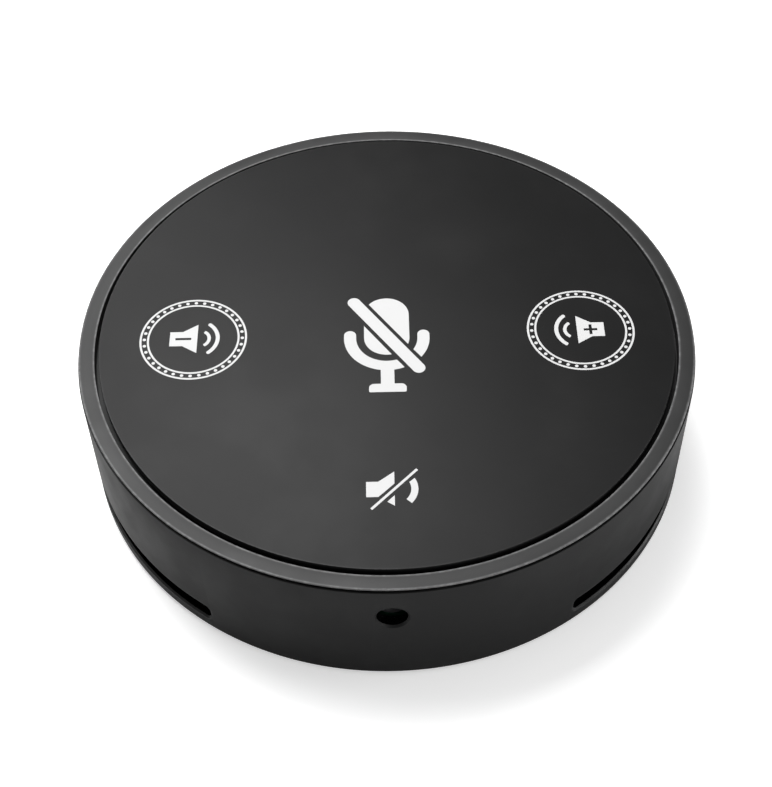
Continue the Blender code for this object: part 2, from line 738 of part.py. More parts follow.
def make_cable_socket():
    """The reversible cable socket at the back: a rounded steel shell with its contact tongue."""
    back, front = PORT_SHELL_BACK_R, PORT_SHELL_FRONT_R
    shell = boxes("cable_socket", [port_box(PORT_SHELL_SIZE, back, front)], "plain_steel")
    cavity = boxes("cable_socket_cavity", [port_box(PORT_CAVITY_SIZE, back + 1.1, front + 1.4)], None)
    for thing, radius in ((shell, 1.45), (cavity, 1.15)):
        bm = bmesh.new()
        bm.from_mesh(thing.data)
        long_edges = [e for e in bm.edges if abs(e.verts[0].co.y - e.verts[1].co.y) > MM]
        bmesh.ops.bevel(bm, geom=long_edges, offset=radius * MM, segments=3, profile=0.5, affect="EDGES")
        bm.to_mesh(thing.data)
        bm.free()
    cut(shell, cavity)
    join(shell, boxes("socket_tongue", [port_box(PORT_TONGUE_SIZE, back + 0.9, front - 1.0)], None))
    return shell


def make_microphones():
    """Four capsules in soft boots on the mid frame, under the gap round the panel."""
    for name, azimuth in MIC_AZIMUTHS.items():
        x, y = place(azimuth, MIC_AT_R)
        bore = MIC_BOOT_R - 0.6
        floor = MIC_BOOT_LOW + 0.5
        boot = [(0.0, floor), (bore, floor), (bore, MIC_BOOT_TOP)]
        boot += [(MIC_BOOT_R, MIC_BOOT_TOP), (MIC_BOOT_R, MIC_BOOT_LOW), (0.0, MIC_BOOT_LOW)]
        turned("mic_boot_" + name, boot, "rubber_black", TINY_STEPS, (x, y, 0.0))
        capsule = [(0.0, MIC_CAPSULE_TOP), (MIC_CAPSULE_R - 0.2, MIC_CAPSULE_TOP)]
        capsule += [(MIC_CAPSULE_R, MIC_CAPSULE_TOP - 0.2), (MIC_CAPSULE_R, MIC_CAPSULE_LOW)]
        capsule += [(0.0, MIC_CAPSULE_LOW)]
        turned("mic_capsule_" + name, capsule, "plain_steel", TINY_STEPS, (x, y, 0.0))


# ---------------------------------------------------------------- loudspeaker, facing down


def make_baffle_plate():
    """The plate between the loudspeaker and the sound chamber over the bottom cover."""
    heights = (BAFFLE_LOW, BAFFLE_HIGH)
    plate = ring("baffle_plate", BAFFLE_IN_R, BAFFLE_OUT_R, *heights, "inner_plastic", PLATE_STEPS)
    notches = upright(COVER_SCREW_AZIMUTHS, COVER_SCREW_AT_R, BAFFLE_LOW - 1.0, BAFFLE_HIGH + 1.0)
    cut(plate, rods("boss_notches", notches, COVER_BOSS_R + 0.4, None))
    bores = upright(SPEAKER_SCREW_AZIMUTHS, SPEAKER_SCREW_AT_R, BAFFLE_LOW - 1.0, BAFFLE_HIGH + 1.0)
    cut(plate, rods("speaker_screw_bores", bores, SPEAKER_SCREW_BORE_R, None))
    return plate


def make_speaker_gasket():
    low = BAFFLE_HIGH + GAP
    ring("speaker_gasket", GASKET_IN_R, GASKET_OUT_R, low, low + GASKET_THICK, "rubber_black")


def make_speaker_basket():
    """The pressed frame, with windows in its cone and ears for the screws."""
    profile = [
        (19.5, 16.4),
        (20.7, 15.2),
        (26.2, 11.9),
        (32.5, 11.7),
        (32.5, 10.5),
        (24.0, 10.5),
        (24.2, 11.4),
        (19.0, 15.0),
        (14.6, 15.2),
        (14.6, 16.4),
    ]
    basket = turned("speaker_basket", profile, "dark_steel")
    windows = []
    for azimuth in (45.0, 135.0, 225.0, 315.0):
        x, y = place(azimuth, 22.0)
        windows.append(((x - 3.0, y - 3.0, 12.4), (x + 3.0, y + 3.0, 14.6)))
    cut(basket, boxes("basket_windows", windows, None))
    bores = upright(SPEAKER_SCREW_AZIMUTHS, SPEAKER_SCREW_AT_R, 9.0, 13.0)
    cut(basket, rods("basket_screw_bores", bores, SPEAKER_SCREW_BORE_R, None))
    return basket


def make_speaker_magnet():
    """The cup, the magnet and the pole plate, whose gap the coil runs in."""
    cup = [(0.0, YOKE_TOP), (YOKE_R, YOKE_TOP), (YOKE_R, YOKE_LOW)]
    cup += [(YOKE_IN_R, YOKE_LOW), (YOKE_IN_R, YOKE_FLOOR), (0.0, YOKE_FLOOR)]
    turned("speaker_yoke", cup, "plain_steel")
    disc("speaker_magnet", MAGNET_R, MAGNET_LOW, MAGNET_TOP, "magnet_nickel")
    disc("pole_plate", POLE_R, POLE_LOW, POLE_TOP, "plain_steel")


def make_speaker_cone():
    """What moves in the loudspeaker: the coil on its tube, the cone and the dust cap."""
    coil = [(11.5, 16.4), (11.5, 16.0), (11.9, 16.0), (11.9, 13.8), (11.5, 13.8), (11.5, 11.7)]
    coil += [(11.0, 11.7), (11.0, 16.4)]
    turned("voice_coil", coil, "coil_copper")
    cone = [(12.6, 12.3), (22.4, 11.2), (22.4, 10.8), (12.3, 11.8), (12.3, 12.3)]
    turned("speaker_cone", cone, "paper_grey")
    cap_r = 11.3
    rise = 1.5
    rim = 11.35
    skin = 0.4
    shares = (0.0, 0.35, 0.65, 0.85)
    outside = [(cap_r * share, rim - rise * (1.0 - share * share)) for share in reversed(shares)]
    inside = [(radius, height + skin) for radius, height in reversed(outside)]
    turned("dust_cap", inside + [(cap_r, rim)] + outside, "paper_grey")


def make_cone_surround():
    """The rubber half roll between the cone and the basket."""
    middle = 24.7
    base = 10.2
    skin = 0.4
    roll = 1.5
    angles = [math.radians(step * 36.0) for step in range(6)]
    outer = [(middle + roll * math.cos(a), base - roll * math.sin(a)) for a in angles]
    inner = [(middle + (roll - skin) * math.cos(a), base - (roll - skin) * math.sin(a)) for a in angles]
    turned("cone_surround", outer + list(reversed(inner)), "rubber_black")


def make_speaker_spider():
    """The waved cloth disc that keeps the coil in the gap."""
    radii = [12.4 + 1.3 * step for step in range(7)]
    wave = [0.12 if step % 2 else -0.12 for step in range(7)]
    middle = 13.55
    skin = 0.15
    upper = [(r, middle + w + skin) for r, w in zip(radii, wave)]
    lower = [(r, middle + w - skin) for r, w in zip(radii, wave)]
    turned("speaker_spider", upper + list(reversed(lower)), "spider_amber")


def make_speaker_screws():
    for number, azimuth in enumerate(SPEAKER_SCREW_AZIMUTHS, 1):
        x, y = place(azimuth, SPEAKER_SCREW_AT_R)
        profile = [(0.0, 12.8), (1.4, 12.8), (1.5, 12.0), (0.8, 12.0), (0.8, 9.0), (0.0, 8.6)]
        turned(f"speaker_screw_{number}", profile, "dark_steel", TINY_STEPS, (x, y, 0.0))


def make_speaker_wires():
    """Two leads from the basket over the board's inner edge to their plug."""
    for name, y, colour in (("red", 1.5, "wire_red"), ("black", -1.5, "wire_black")):
        route = [(24.6, y, 14.4), (25.2, y, 15.6), (26.4, y, 16.8)]
        route += [(28.2, y, 17.6), (30.4, y, 17.8), (32.8, y, 17.8)]
        curve = bpy.data.curves.new("speaker_wire_" + name, "CURVE")
        curve.dimensions = "3D"
        curve.bevel_depth = 0.5 * MM
        curve.bevel_resolution = 2
        curve.use_fill_caps = True
        spline = curve.splines.new("POLY")
        spline.points.add(len(route) - 1)
        for point, (px, py, pz) in zip(spline.points, route):
            point.co = (px * MM, py * MM, pz * MM, 1.0)
        wire = bpy.data.objects.new("speaker_wire_" + name, curve)
        curve.materials.append(finish(colour))
        parts.objects.link(wire)


clear_scene()
parts = make_collection(COLLECTION_NAME)
cutters = make_collection("cutters")

make_housing()
make_bezel_ring()
make_bottom_cover()
make_foot_ring()
make_slot_meshes()
make_cover_screws()

make_top_panel()
make_panel_carrier()
make_press_frame()
make_pins()
make_key_domes()

make_mid_frame()
make_key_board()
make_main_board()
make_board_pieces()
make_frame_screws()
make_headset_jack()
make_cable_socket()
make_microphones()

make_baffle_plate()
make_speaker_gasket()
make_speaker_basket()
make_speaker_magnet()
make_speaker_cone()
make_cone_surround()
make_speaker_spider()
make_speaker_screws()
make_speaker_wires()
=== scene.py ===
"""Conference speakerphone, the visual model: a low round puck with a floating key panel and printed marks.

Lengths are in millimetres in the section lists and become metres where a mesh is made. +Z is up, the user
sits at -Y, and the origin lies on the table under the middle of the puck.
"""

import math

import bmesh
import bpy
from mathutils import Matrix, Vector


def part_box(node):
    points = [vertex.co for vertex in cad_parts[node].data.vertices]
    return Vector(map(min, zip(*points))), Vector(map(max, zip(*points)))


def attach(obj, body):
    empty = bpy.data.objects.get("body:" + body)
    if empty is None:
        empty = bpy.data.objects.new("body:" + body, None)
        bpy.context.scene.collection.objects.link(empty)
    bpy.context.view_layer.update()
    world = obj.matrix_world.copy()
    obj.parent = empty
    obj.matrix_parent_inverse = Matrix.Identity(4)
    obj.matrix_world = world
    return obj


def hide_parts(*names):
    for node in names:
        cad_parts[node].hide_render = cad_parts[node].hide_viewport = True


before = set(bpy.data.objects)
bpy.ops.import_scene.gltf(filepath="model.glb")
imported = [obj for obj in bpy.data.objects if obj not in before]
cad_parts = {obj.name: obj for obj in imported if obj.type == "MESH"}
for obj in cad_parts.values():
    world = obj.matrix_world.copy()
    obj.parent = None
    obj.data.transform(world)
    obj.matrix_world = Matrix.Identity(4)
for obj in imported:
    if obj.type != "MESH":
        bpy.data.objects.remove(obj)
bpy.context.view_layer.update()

bl_info = {
    "name": "Conference speakerphone",
    "version": (1, 0, 0),
    "blender": (4, 5, 0),
    "location": "3D View > Sidebar > Speakerphone",
    "description": "Builds a round speakerphone: casing, key panel, printed marks, sockets and screws",
    "category": "Object",
}

MM = 0.001
WALL_STEPS = 256
TURN_STEPS = 192
FINE_STEPS = 64
SMALL_STEPS = 24
FILLET_STEPS = 4
MERGE = 0.001 * MM
SMOOTH_ANGLE = math.radians(32.0)
SHARP_ANGLE = math.radians(40.0)
COVER_SCREW_AZIMUTHS = (-158.0, -22.0, 22.0, 158.0)
COVER_SCREW_RADIUS = 54.8
FRAME_SCREW_AZIMUTHS = (-118.0, -62.0, 62.0, 118.0)
FRAME_SCREW_RADIUS = 53.6
SPEAKER_SCREW_AZIMUTHS = (-120.0, 0.0, 120.0)
SPEAKER_SCREW_RADIUS = 30.8


# ---------------------------------------------------------------- sizes and colours


def length(name, description, size):
    """A length property whose default is given in millimetres."""
    return bpy.props.FloatProperty(
        name=name, description=description, default=size * MM, min=0.0, precision=5, unit="LENGTH"
    )


def paint(name, description, colour):
    """A colour property; the colour is a linear red, green and blue."""
    return bpy.props.FloatVectorProperty(
        name=name, description=description, default=colour, size=3, min=0.0, max=1.0, subtype="COLOR"
    )


class SPK_CasingSizes(bpy.types.PropertyGroup):
    body_radius: length("Body radius", "Outside radius of the side wall", 60.0)
    wall_low: length("Wall bottom", "Height of the wall's lower edge", 0.8)
    wall_top: length("Wall top", "Height of the wall's upper edge, at the parting groove", 27.55)
    edge_round: length("Bottom edge round", "Radius of the wall's lower edge", 0.7)
    slot_low: length("Slot bottom", "Height of the sound slots' lower lip", 3.89)
    slot_high: length("Slot top", "Height of the sound slots' upper lip", 7.49)
    slot_corner: length("Slot corner", "Corner radius of the sound slots", 1.1)
    slot_start: bpy.props.FloatProperty(
        name="Slot start",
        description="Azimuth from the front at which each sound slot starts",
        default=math.radians(34.4),
        subtype="ANGLE",
    )
    lip: length("Slot lip", "Width of the softened edge round each slot", 0.32)
    jack_height: length("Headset hole height", "Height of the headset hole's middle", 19.5)
    jack_radius: length("Headset hole radius", "Radius of the headset hole inside its rim", 2.8)
    port_height: length("Cable port height", "Height of the cable port's middle", 18.3)


class SPK_TopSizes(bpy.types.PropertyGroup):
    bezel_radius: length("Bezel radius", "Outside radius of the ring round the key panel", 59.8)
    bezel_bore: length("Bezel bore", "Radius of the ring's bore", 56.73)
    bezel_top: length("Bezel top", "Height of the ring's top face", 28.2)
    panel_radius: length("Panel radius", "Outside radius of the floating key panel", 55.89)
    panel_top: length("Panel top", "Height of the key panel's top face", 28.63)
    panel_low: length("Panel underside", "Height of the key panel's underside", 27.2)
    print_thickness: length("Print thickness", "How far the printed marks stand on the panel", 0.02)


class SPK_Colours(bpy.types.PropertyGroup):
    wall: paint("Wall", "Colour of the side wall", (0.0090, 0.0090, 0.0091))
    bezel: paint("Bezel", "Colour of the ring round the key panel", (0.032, 0.032, 0.0322))
    panel: paint("Key panel", "Colour of the key panel", (0.0080, 0.0080, 0.0081))
    marks: paint("Marks", "Colour of the printed marks", (0.60, 0.60, 0.60))
    cover: paint("Bottom cover", "Colour of the bottom cover", (0.011, 0.011, 0.0113))
    rubber: paint("Rubber", "Colour of the foot ring and boots", (0.008, 0.008, 0.008))
    cloth: paint("Dust cloth", "Colour of the dust cloth in the slots", (0.0025, 0.0025, 0.0026))
    floor: paint("Floor", "Colour of the floor", (0.86, 0.86, 0.86))


# ---------------------------------------------------------------- hand steps


def clear_selection():
    """Leaves edit mode and deselects everything."""
    if bpy.context.mode != "OBJECT":
        bpy.ops.object.mode_set(mode="OBJECT")
    bpy.ops.object.select_all(action="DESELECT")


def take(thing):
    """Makes one object the selected and active one."""
    clear_selection()
    thing.select_set(True)
    bpy.context.view_layer.objects.active = thing
    return thing


def added(name):
    """Names the primitive that was just added."""
    thing = bpy.context.active_object
    thing.name = name
    thing.data.name = name
    return thing


def edit(thing, everything=False):
    """Opens a piece in edit mode with everything or nothing selected."""
    take(thing)
    bpy.ops.object.mode_set(mode="EDIT")
    bpy.ops.mesh.select_all(action="SELECT" if everything else "DESELECT")


def pick(thing, kind, test):
    """Selects the edges or faces of the object in edit mode that pass a test."""
    bpy.ops.mesh.select_mode(type=kind)
    mesh = bmesh.from_edit_mesh(thing.data)
    for element in {"VERT": mesh.verts, "EDGE": mesh.edges, "FACE": mesh.faces}[kind]:
        element.select_set(bool(test(element)))
    bmesh.update_edit_mesh(thing.data)


def done(thing):
    """Leaves edit mode."""
    bpy.ops.object.mode_set(mode="OBJECT")
    return thing


def tidy_shell():
    """Merges doubles and turns all faces outwards; everything in edit mode is taken."""
    bpy.ops.mesh.select_all(action="SELECT")
    bpy.ops.mesh.remove_doubles(threshold=MERGE)
    bpy.ops.mesh.delete_loose(use_verts=True, use_edges=True, use_faces=False)
    bpy.ops.mesh.select_all(action="SELECT")
    bpy.ops.mesh.normals_make_consistent(inside=False)


def settle(thing):
    """Puts the object's place, turn and size into its mesh."""
    take(thing)
    bpy.ops.object.transform_apply(location=True, rotation=True, scale=True)
    return thing


def smooth(thing):
    """Shades a piece smooth, except across its sharper edges."""
    take(thing)
    bpy.ops.object.shade_smooth_by_angle(angle=SMOOTH_ANGLE)
    return thing


def change(thing, tool, operation="DIFFERENCE"):
    """Cuts a tool out of a piece, or grows the piece by it, and removes the tool."""
    take(thing)
    step = thing.modifiers.new("shape", "BOOLEAN")
    step.operation = operation
    step.solver = "EXACT"
    step.object = tool
    bpy.ops.object.modifier_apply(modifier=step.name)
    bpy.data.objects.remove(tool)
    return thing


def joined(name, things):
    """Joins pieces into one object."""
    take(things[0])
    for thing in things:
        thing.select_set(True)
    bpy.ops.object.join()
    return added(name)


def copied(thing, name):
    """A copy with a mesh of its own."""
    twin = thing.copy()
    twin.data = thing.data.copy()
    twin.name = name
    twin.data.name = name
    bpy.context.scene.collection.objects.link(twin)
    return twin


def moved(thing, at, turn=0.0, axis="Z"):
    """Turns a piece about the origin, moves it, and puts both in its mesh."""
    thing.rotation_euler = Matrix.Rotation(turn, 3, axis).to_euler()
    thing.location = Vector(at) * MM
    return settle(thing)


def finished(thing, body, material, stands_for=()):
    """Gives a piece its material, its body and the CAD nodes it stands for."""
    thing.data.materials.clear()
    thing.data.materials.append(material)
    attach(thing, body)
    if stands_for:
        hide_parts(*stands_for)
    return thing


def place(azimuth, radius):
    """x and y of a spot; azimuths run from the front towards +X."""
    angle = math.radians(azimuth)
    return radius * math.sin(angle), -radius * math.cos(angle)


# ---------------------------------------------------------------- shapes


def rounded(corners, steps=FILLET_STEPS):
    """A closed section of (radius, height, fillet) corners, with each fillet laid out in short steps."""
    points = []
    count = len(corners)
    for index, (x, y, fillet) in enumerate(corners):
        here = Vector((x, y))
        if fillet <= 0.0:
            points.append((x, y))
            continue
        before = (Vector(corners[index - 1][:2]) - here).normalized()
        after = (Vector(corners[(index + 1) % count][:2]) - here).normalized()
        half = before.angle(after) / 2.0
        reach = fillet / math.tan(half)
        centre = here + (before + after).normalized() * (fillet / math.sin(half))
        first = here + before * reach - centre
        last = here + after * reach - centre
        sweep = first.angle_signed(last)
        for step in range(steps + 1):
            spoke = first.copy()
            spoke.rotate(Matrix.Rotation(-sweep * step / steps, 2))
            points.append(tuple(centre + spoke))
    return points


def section_ring(name, points):
    """A ring of corners laid along a section in the plane through the axis; both are in millimetres."""
    clear_selection()
    bpy.ops.mesh.primitive_circle_add(vertices=len(points), radius=MM, location=(0.0, 0.0, 0.0))
    thing = added(name)
    for corner, (x, z) in zip(thing.data.vertices, points):
        corner.co = (x * MM, 0.0, z * MM)
    return thing


def turned(name, corners, steps=TURN_STEPS):
    """A turned piece: its section is spun once round the axis."""
    thing = section_ring(name, rounded(corners))
    edit(thing, everything=True)
    bpy.ops.mesh.spin(steps=steps, angle=math.tau, center=(0.0, 0.0, 0.0), axis=(0.0, 0.0, 1.0))
    tidy_shell()
    return done(thing)


def swept(name, points, start, end, steps):
    """A section swept round the axis between two azimuths, closed at both ends."""
    thing = section_ring(name, points)
    edit(thing, everything=True)
    bpy.ops.mesh.edge_face_add()
    bpy.ops.mesh.select_all(action="SELECT")
    bpy.ops.mesh.spin(
        steps=steps, angle=math.radians(end - start), center=(0.0, 0.0, 0.0), axis=(0.0, 0.0, 1.0)
    )
    tidy_shell()
    done(thing)
    middle = Vector((0.0, 0.0))
    for corner in thing.data.vertices:
        middle += corner.co.xy
    want = Vector(place((start + end) / 2.0, 1.0))
    thing.rotation_euler.z = math.atan2(want.y, want.x) - math.atan2(middle.y, middle.x)
    return settle(thing)


def block(name, low, high, turn=0.0):
    """A box between two corners, turned about its own upright axis."""
    low, high = Vector(low) * MM, Vector(high) * MM
    clear_selection()
    middle = (low + high) / 2.0
    bpy.ops.mesh.primitive_cube_add(size=1.0, location=middle, rotation=(0.0, 0.0, turn), scale=high - low)
    return settle(added(name))


def rod(name, start, end, radius, steps=FINE_STEPS, end_radius=None):
    """A round rod or cone between two points."""
    start, end = Vector(start) * MM, Vector(end) * MM
    along = end - start
    clear_selection()
    bpy.ops.mesh.primitive_cone_add(
        vertices=steps,
        radius1=radius * MM,
        radius2=(radius if end_radius is None else end_radius) * MM,
        depth=along.length,
        location=(start + end) / 2.0,
        rotation=along.to_track_quat("Z", "Y").to_euler(),
    )
    return settle(added(name))


def bevelled(thing, width, segments, test):
    """Bevels the edges that pass a test."""
    edit(thing)
    pick(thing, "EDGE", test)
    bpy.ops.mesh.bevel(offset=width * MM, segments=segments, affect="EDGES", clamp_overlap=True)
    return done(thing)


def runs_along(axis):
    """A test for edges that run along one axis: 0, 1 or 2."""

    def test(edge):
        way = edge.verts[1].co - edge.verts[0].co
        return way.length > MERGE and abs(way[axis]) > 0.999 * way.length

    return test


def sharp(edge):
    """A test for edges between two faces that meet at a sharp angle."""
    return edge.calc_face_angle(0.0) > SHARP_ANGLE


# ---------------------------------------------------------------- shader groups


def node(tree, kind, inputs=None, **settings):
    """Adds a shader node; an input may be a value or another node's output."""
    new = tree.nodes.new(kind)
    for name, value in settings.items():
        setattr(new, name, value)
    for name, value in (inputs or {}).items():
        socket = new.inputs[name]
        if isinstance(value, bpy.types.NodeSocket):
            tree.links.new(value, socket)
        else:
            socket.default_value = value
    return new


def maths(tree, operation, first, second=0.0, clamp=False):
    """One step of arithmetic on one or two numbers."""
    inputs = {0: first, 1: second}
    return node(tree, "ShaderNodeMath", inputs, operation=operation, use_clamp=clamp).outputs[0]


def stretch(tree, value, low, high, out_low=0.0, out_high=1.0):
    """Maps a value smoothly from one range to another, clamped."""
    inputs = {"Value": value, "From Min": low, "From Max": high, "To Min": out_low, "To Max": out_high}
    return node(tree, "ShaderNodeMapRange", inputs, interpolation_type="SMOOTHSTEP").outputs["Result"]


def noise(tree, vector, scale, **inputs):
    """Noise from 0 to 1; further inputs are named as on the node."""
    return node(tree, "ShaderNodeTexNoise", {"Vector": vector, "Scale": scale, **inputs}).outputs["Fac"]


def broken_line(tree, vector, away, scale, least):
    """A line that is full where away is 0, ends where it is 1, and is thinned to a least share by noise."""
    near = stretch(tree, away, 1.0, 0.0)
    broken = stretch(tree, noise(tree, vector, scale, Detail=4.0), 0.40, 0.66, least, 1.0)
    return maths(tree, "MULTIPLY", near, broken, clamp=True)


def group(name, inputs, outputs):
    """A new shader group; inputs are (name, default), and a default of None makes a vector socket."""
    tree = bpy.data.node_groups.new(name, "ShaderNodeTree")
    for label, default in inputs:
        kind = "NodeSocketVector" if default is None else "NodeSocketFloat"
        socket = tree.interface.new_socket(name=label, in_out="INPUT", socket_type=kind)
        if default is not None:
            socket.default_value = default
    for label in outputs:
        tree.interface.new_socket(name=label, in_out="OUTPUT", socket_type="NodeSocketFloat")
    return tree, tree.nodes.new("NodeGroupInput").outputs, tree.nodes.new("NodeGroupOutput")


def grain_group():
    """Fine moulded grain: two sizes of noise with shallow pits."""
    inputs = [("Vector", None), ("Scale", 4000.0), ("Pits", 0.3)]
    tree, given, out = group("fine grain", inputs, ["Height"])
    fine = noise(tree, given["Vector"], given["Scale"], Detail=3.0)
    wide_scale = maths(tree, "MULTIPLY", given["Scale"], 0.31)
    cells = node(tree, "ShaderNodeTexVoronoi", {"Vector": given["Vector"], "Scale": wide_scale})
    pits = stretch(tree, cells.outputs["Distance"], 0.05, 0.45)
    level = maths(tree, "MULTIPLY", pits, given["Pits"])
    tree.links.new(maths(tree, "ADD", fine, level), out.inputs["Height"])
    return tree


def mottle_group():
    """Slow changes of tone over a surface, from 0 to 1."""
    tree, given, out = group("slow mottle", [("Vector", None), ("Scale", 40.0)], ["Tone"])
    cloud = noise(tree, given["Vector"], given["Scale"], Detail=4.0, Roughness=0.6)
    tree.links.new(stretch(tree, cloud, 0.3, 0.7), out.inputs["Tone"])
    return tree


def turned_radius(tree, vector):
    """How far a point is from the upright axis."""
    parts = node(tree, "ShaderNodeSeparateXYZ", {0: vector}).outputs
    flat = node(tree, "ShaderNodeCombineXYZ", {"X": parts["X"], "Y": parts["Y"]}).outputs[0]
    return node(tree, "ShaderNodeVectorMath", {0: flat}, operation="LENGTH").outputs["Value"]


def rim_wear_and_highlight_group():
    """Broken lighter line along a round edge at one radius and height, both in metres: wear, and on the
    bezel a painted highlight.
    """
    inputs = [("Vector", None), ("Radius", 0.06), ("Height", 0.02), ("Width", 0.0004)]
    tree, given, out = group("rim wear and highlight", inputs, ["Edge line"])
    parts = node(tree, "ShaderNodeSeparateXYZ", {0: given["Vector"]}).outputs
    aside = maths(tree, "SUBTRACT", turned_radius(tree, given["Vector"]), given["Radius"])
    above = maths(tree, "SUBTRACT", parts["Z"], given["Height"])
    squares = [maths(tree, "MULTIPLY", each, each) for each in (aside, above)]
    distance = maths(tree, "SQRT", maths(tree, "ADD", *squares))
    away = maths(tree, "DIVIDE", distance, given["Width"])
    tree.links.new(broken_line(tree, given["Vector"], away, 900.0, 0.55), out.inputs["Edge line"])
    return tree


def slot_lip_highlight_group():
    """A painted highlight along the outline of the slots that face -X and +X; lengths are in metres."""
    inputs = [("Vector", None), ("Radius", 0.06), ("Middle", 0.0057), ("Half length", 0.058)]
    inputs += [("Half height", 0.0018), ("Corner", 0.0011), ("Width", 0.0005)]
    tree, given, out = group("slot lip highlight", inputs, ["Edge line"])
    parts = node(tree, "ShaderNodeSeparateXYZ", {0: given["Vector"]}).outputs
    turn = maths(tree, "ARCTAN2", maths(tree, "ABSOLUTE", parts["Y"]), maths(tree, "ABSOLUTE", parts["X"]))
    along = maths(tree, "MULTIPLY", turn, given["Radius"])
    above = maths(tree, "ABSOLUTE", maths(tree, "SUBTRACT", parts["Z"], given["Middle"]))
    beyond = []
    for reach, half in ((along, "Half length"), (above, "Half height")):
        flat = maths(tree, "SUBTRACT", given[half], given["Corner"])
        beyond.append(maths(tree, "SUBTRACT", reach, flat))
    past = [maths(tree, "MAXIMUM", each, 0.0) for each in beyond]
    squares = [maths(tree, "MULTIPLY", each, each) for each in past]
    outside = maths(tree, "SQRT", maths(tree, "ADD", *squares))
    inside = maths(tree, "MINIMUM", maths(tree, "MAXIMUM", *beyond), 0.0)
    distance = maths(tree, "SUBTRACT", maths(tree, "ADD", outside, inside), given["Corner"])
    away = maths(tree, "DIVIDE", maths(tree, "ABSOLUTE", distance), given["Width"])
    tree.links.new(broken_line(tree, given["Vector"], away, 700.0, 0.6), out.inputs["Edge line"])
    return tree


def dust_group():
    """Fine dust that lies on faces that look up, in specks and a thin veil."""
    inputs = [("Vector", None), ("Scale", 1400.0), ("Amount", 0.3)]
    tree, given, out = group("settled dust", inputs, ["Dust"])
    facing = node(tree, "ShaderNodeNewGeometry").outputs["Normal"]
    up = stretch(tree, node(tree, "ShaderNodeSeparateXYZ", {0: facing}).outputs["Z"], 0.2, 0.95)
    cells = node(tree, "ShaderNodeTexVoronoi", {"Vector": given["Vector"], "Scale": given["Scale"]})
    speck = stretch(tree, cells.outputs["Distance"], 0.16, 0.05)
    chosen = node(tree, "ShaderNodeSeparateXYZ", {0: cells.outputs["Color"]}).outputs["X"]
    speck = maths(tree, "MULTIPLY", speck, stretch(tree, chosen, 0.86, 0.98))
    veil = stretch(tree, noise(tree, given["Vector"], 55.0, Detail=5.0), 0.45, 0.8)
    veil = maths(tree, "MULTIPLY", veil, 0.35)
    both = maths(tree, "MULTIPLY", maths(tree, "ADD", speck, veil), up)
    tree.links.new(maths(tree, "MULTIPLY", both, given["Amount"], clamp=True), out.inputs["Dust"])
    return tree


def hairline_group():
    """Sparse hairline scratches in two directions."""
    tree, given, out = group("hairlines", [("Vector", None), ("Scale", 30.0)], ["Lines"])
    lines = []
    for turn, shift in ((0.5, 0.0), (2.2, 0.37)):
        placing = {
            "Vector": given["Vector"],
            "Rotation": (0.0, 0.0, turn),
            "Location": (shift, shift, 0.0),
            "Scale": (1.0, 14.0, 1.0),
        }
        placed = node(tree, "ShaderNodeMapping", placing).outputs[0]
        wave = noise(tree, placed, given["Scale"], Detail=3.0, Distortion=0.4)
        line = stretch(tree, maths(tree, "ABSOLUTE", maths(tree, "SUBTRACT", wave, 0.5)), 0.006, 0.0)
        gate = noise(tree, given["Vector"], 70.0 + 40.0 * turn)
        lines.append(maths(tree, "MULTIPLY", line, stretch(tree, gate, 0.56, 0.7)))
    tree.links.new(maths(tree, "MAXIMUM", *lines), out.inputs["Lines"])
    return tree


def drawn_group():
    """Lines along one direction, as on drawn or rolled metal."""
    inputs = [("Vector", None), ("Along", 60.0), ("Across", 4000.0)]
    tree, given, out = group("drawn lines", inputs, ["Height"])
    scales = {"X": given["Along"], "Y": given["Across"], "Z": given["Across"]}
    inputs = {0: given["Vector"], 1: node(tree, "ShaderNodeCombineXYZ", scales).outputs[0]}
    drawn_out = node(tree, "ShaderNodeVectorMath", inputs, operation="MULTIPLY").outputs[0]
    tree.links.new(noise(tree, drawn_out, 1.0, Detail=4.0), out.inputs["Height"])
    return tree


def weave_group():
    """Plain weave wrapped round the axis: Pitch is one thread's width in metres."""
    inputs = [("Vector", None), ("Pitch", 0.00022), ("Radius", 0.0576)]
    tree, given, out = group("plain weave", inputs, ["Height", "Gap"])
    parts = node(tree, "ShaderNodeSeparateXYZ", {0: given["Vector"]}).outputs
    angle = maths(tree, "ARCTAN2", parts["Y"], parts["X"])
    along = maths(tree, "DIVIDE", maths(tree, "MULTIPLY", angle, given["Radius"]), given["Pitch"])
    across = maths(tree, "DIVIDE", parts["Z"], given["Pitch"])
    warp = maths(tree, "ABSOLUTE", maths(tree, "SINE", maths(tree, "MULTIPLY", along, math.pi)))
    weft = maths(tree, "ABSOLUTE", maths(tree, "SINE", maths(tree, "MULTIPLY", across, math.pi)))
    cell = maths(tree, "ADD", maths(tree, "FLOOR", along), maths(tree, "FLOOR", across))
    over = maths(tree, "FLOORED_MODULO", cell, 2.0)
    under = maths(tree, "SUBTRACT", 1.0, over)
    height = maths(tree, "ADD", maths(tree, "MULTIPLY", warp, over), maths(tree, "MULTIPLY", weft, under))
    tree.links.new(height, out.inputs["Height"])
    tree.links.new(stretch(tree, maths(tree, "MULTIPLY", warp, weft), 0.3, 0.05), out.inputs["Gap"])
    return tree


GROUP_MAKERS = {
    "grain": grain_group,
    "mottle": mottle_group,
    "rim": rim_wear_and_highlight_group,
    "slot": slot_lip_highlight_group,
    "dust": dust_group,
    "hairlines": hairline_group,
    "drawn": drawn_group,
    "weave": weave_group,
}
GROUPS = {}


def effect(tree, name, inputs, output):
    """Places a shader group in a material and gives one of its outputs."""
    if name not in GROUPS:
        GROUPS[name] = GROUP_MAKERS[name]()
    placed = tree.nodes.new("ShaderNodeGroup")
    placed.node_tree = GROUPS[name]
    for label, value in inputs.items():
        if isinstance(value, bpy.types.NodeSocket):
            tree.links.new(value, placed.inputs[label])
        else:
            placed.inputs[label].default_value = value
    return placed.outputs[output]


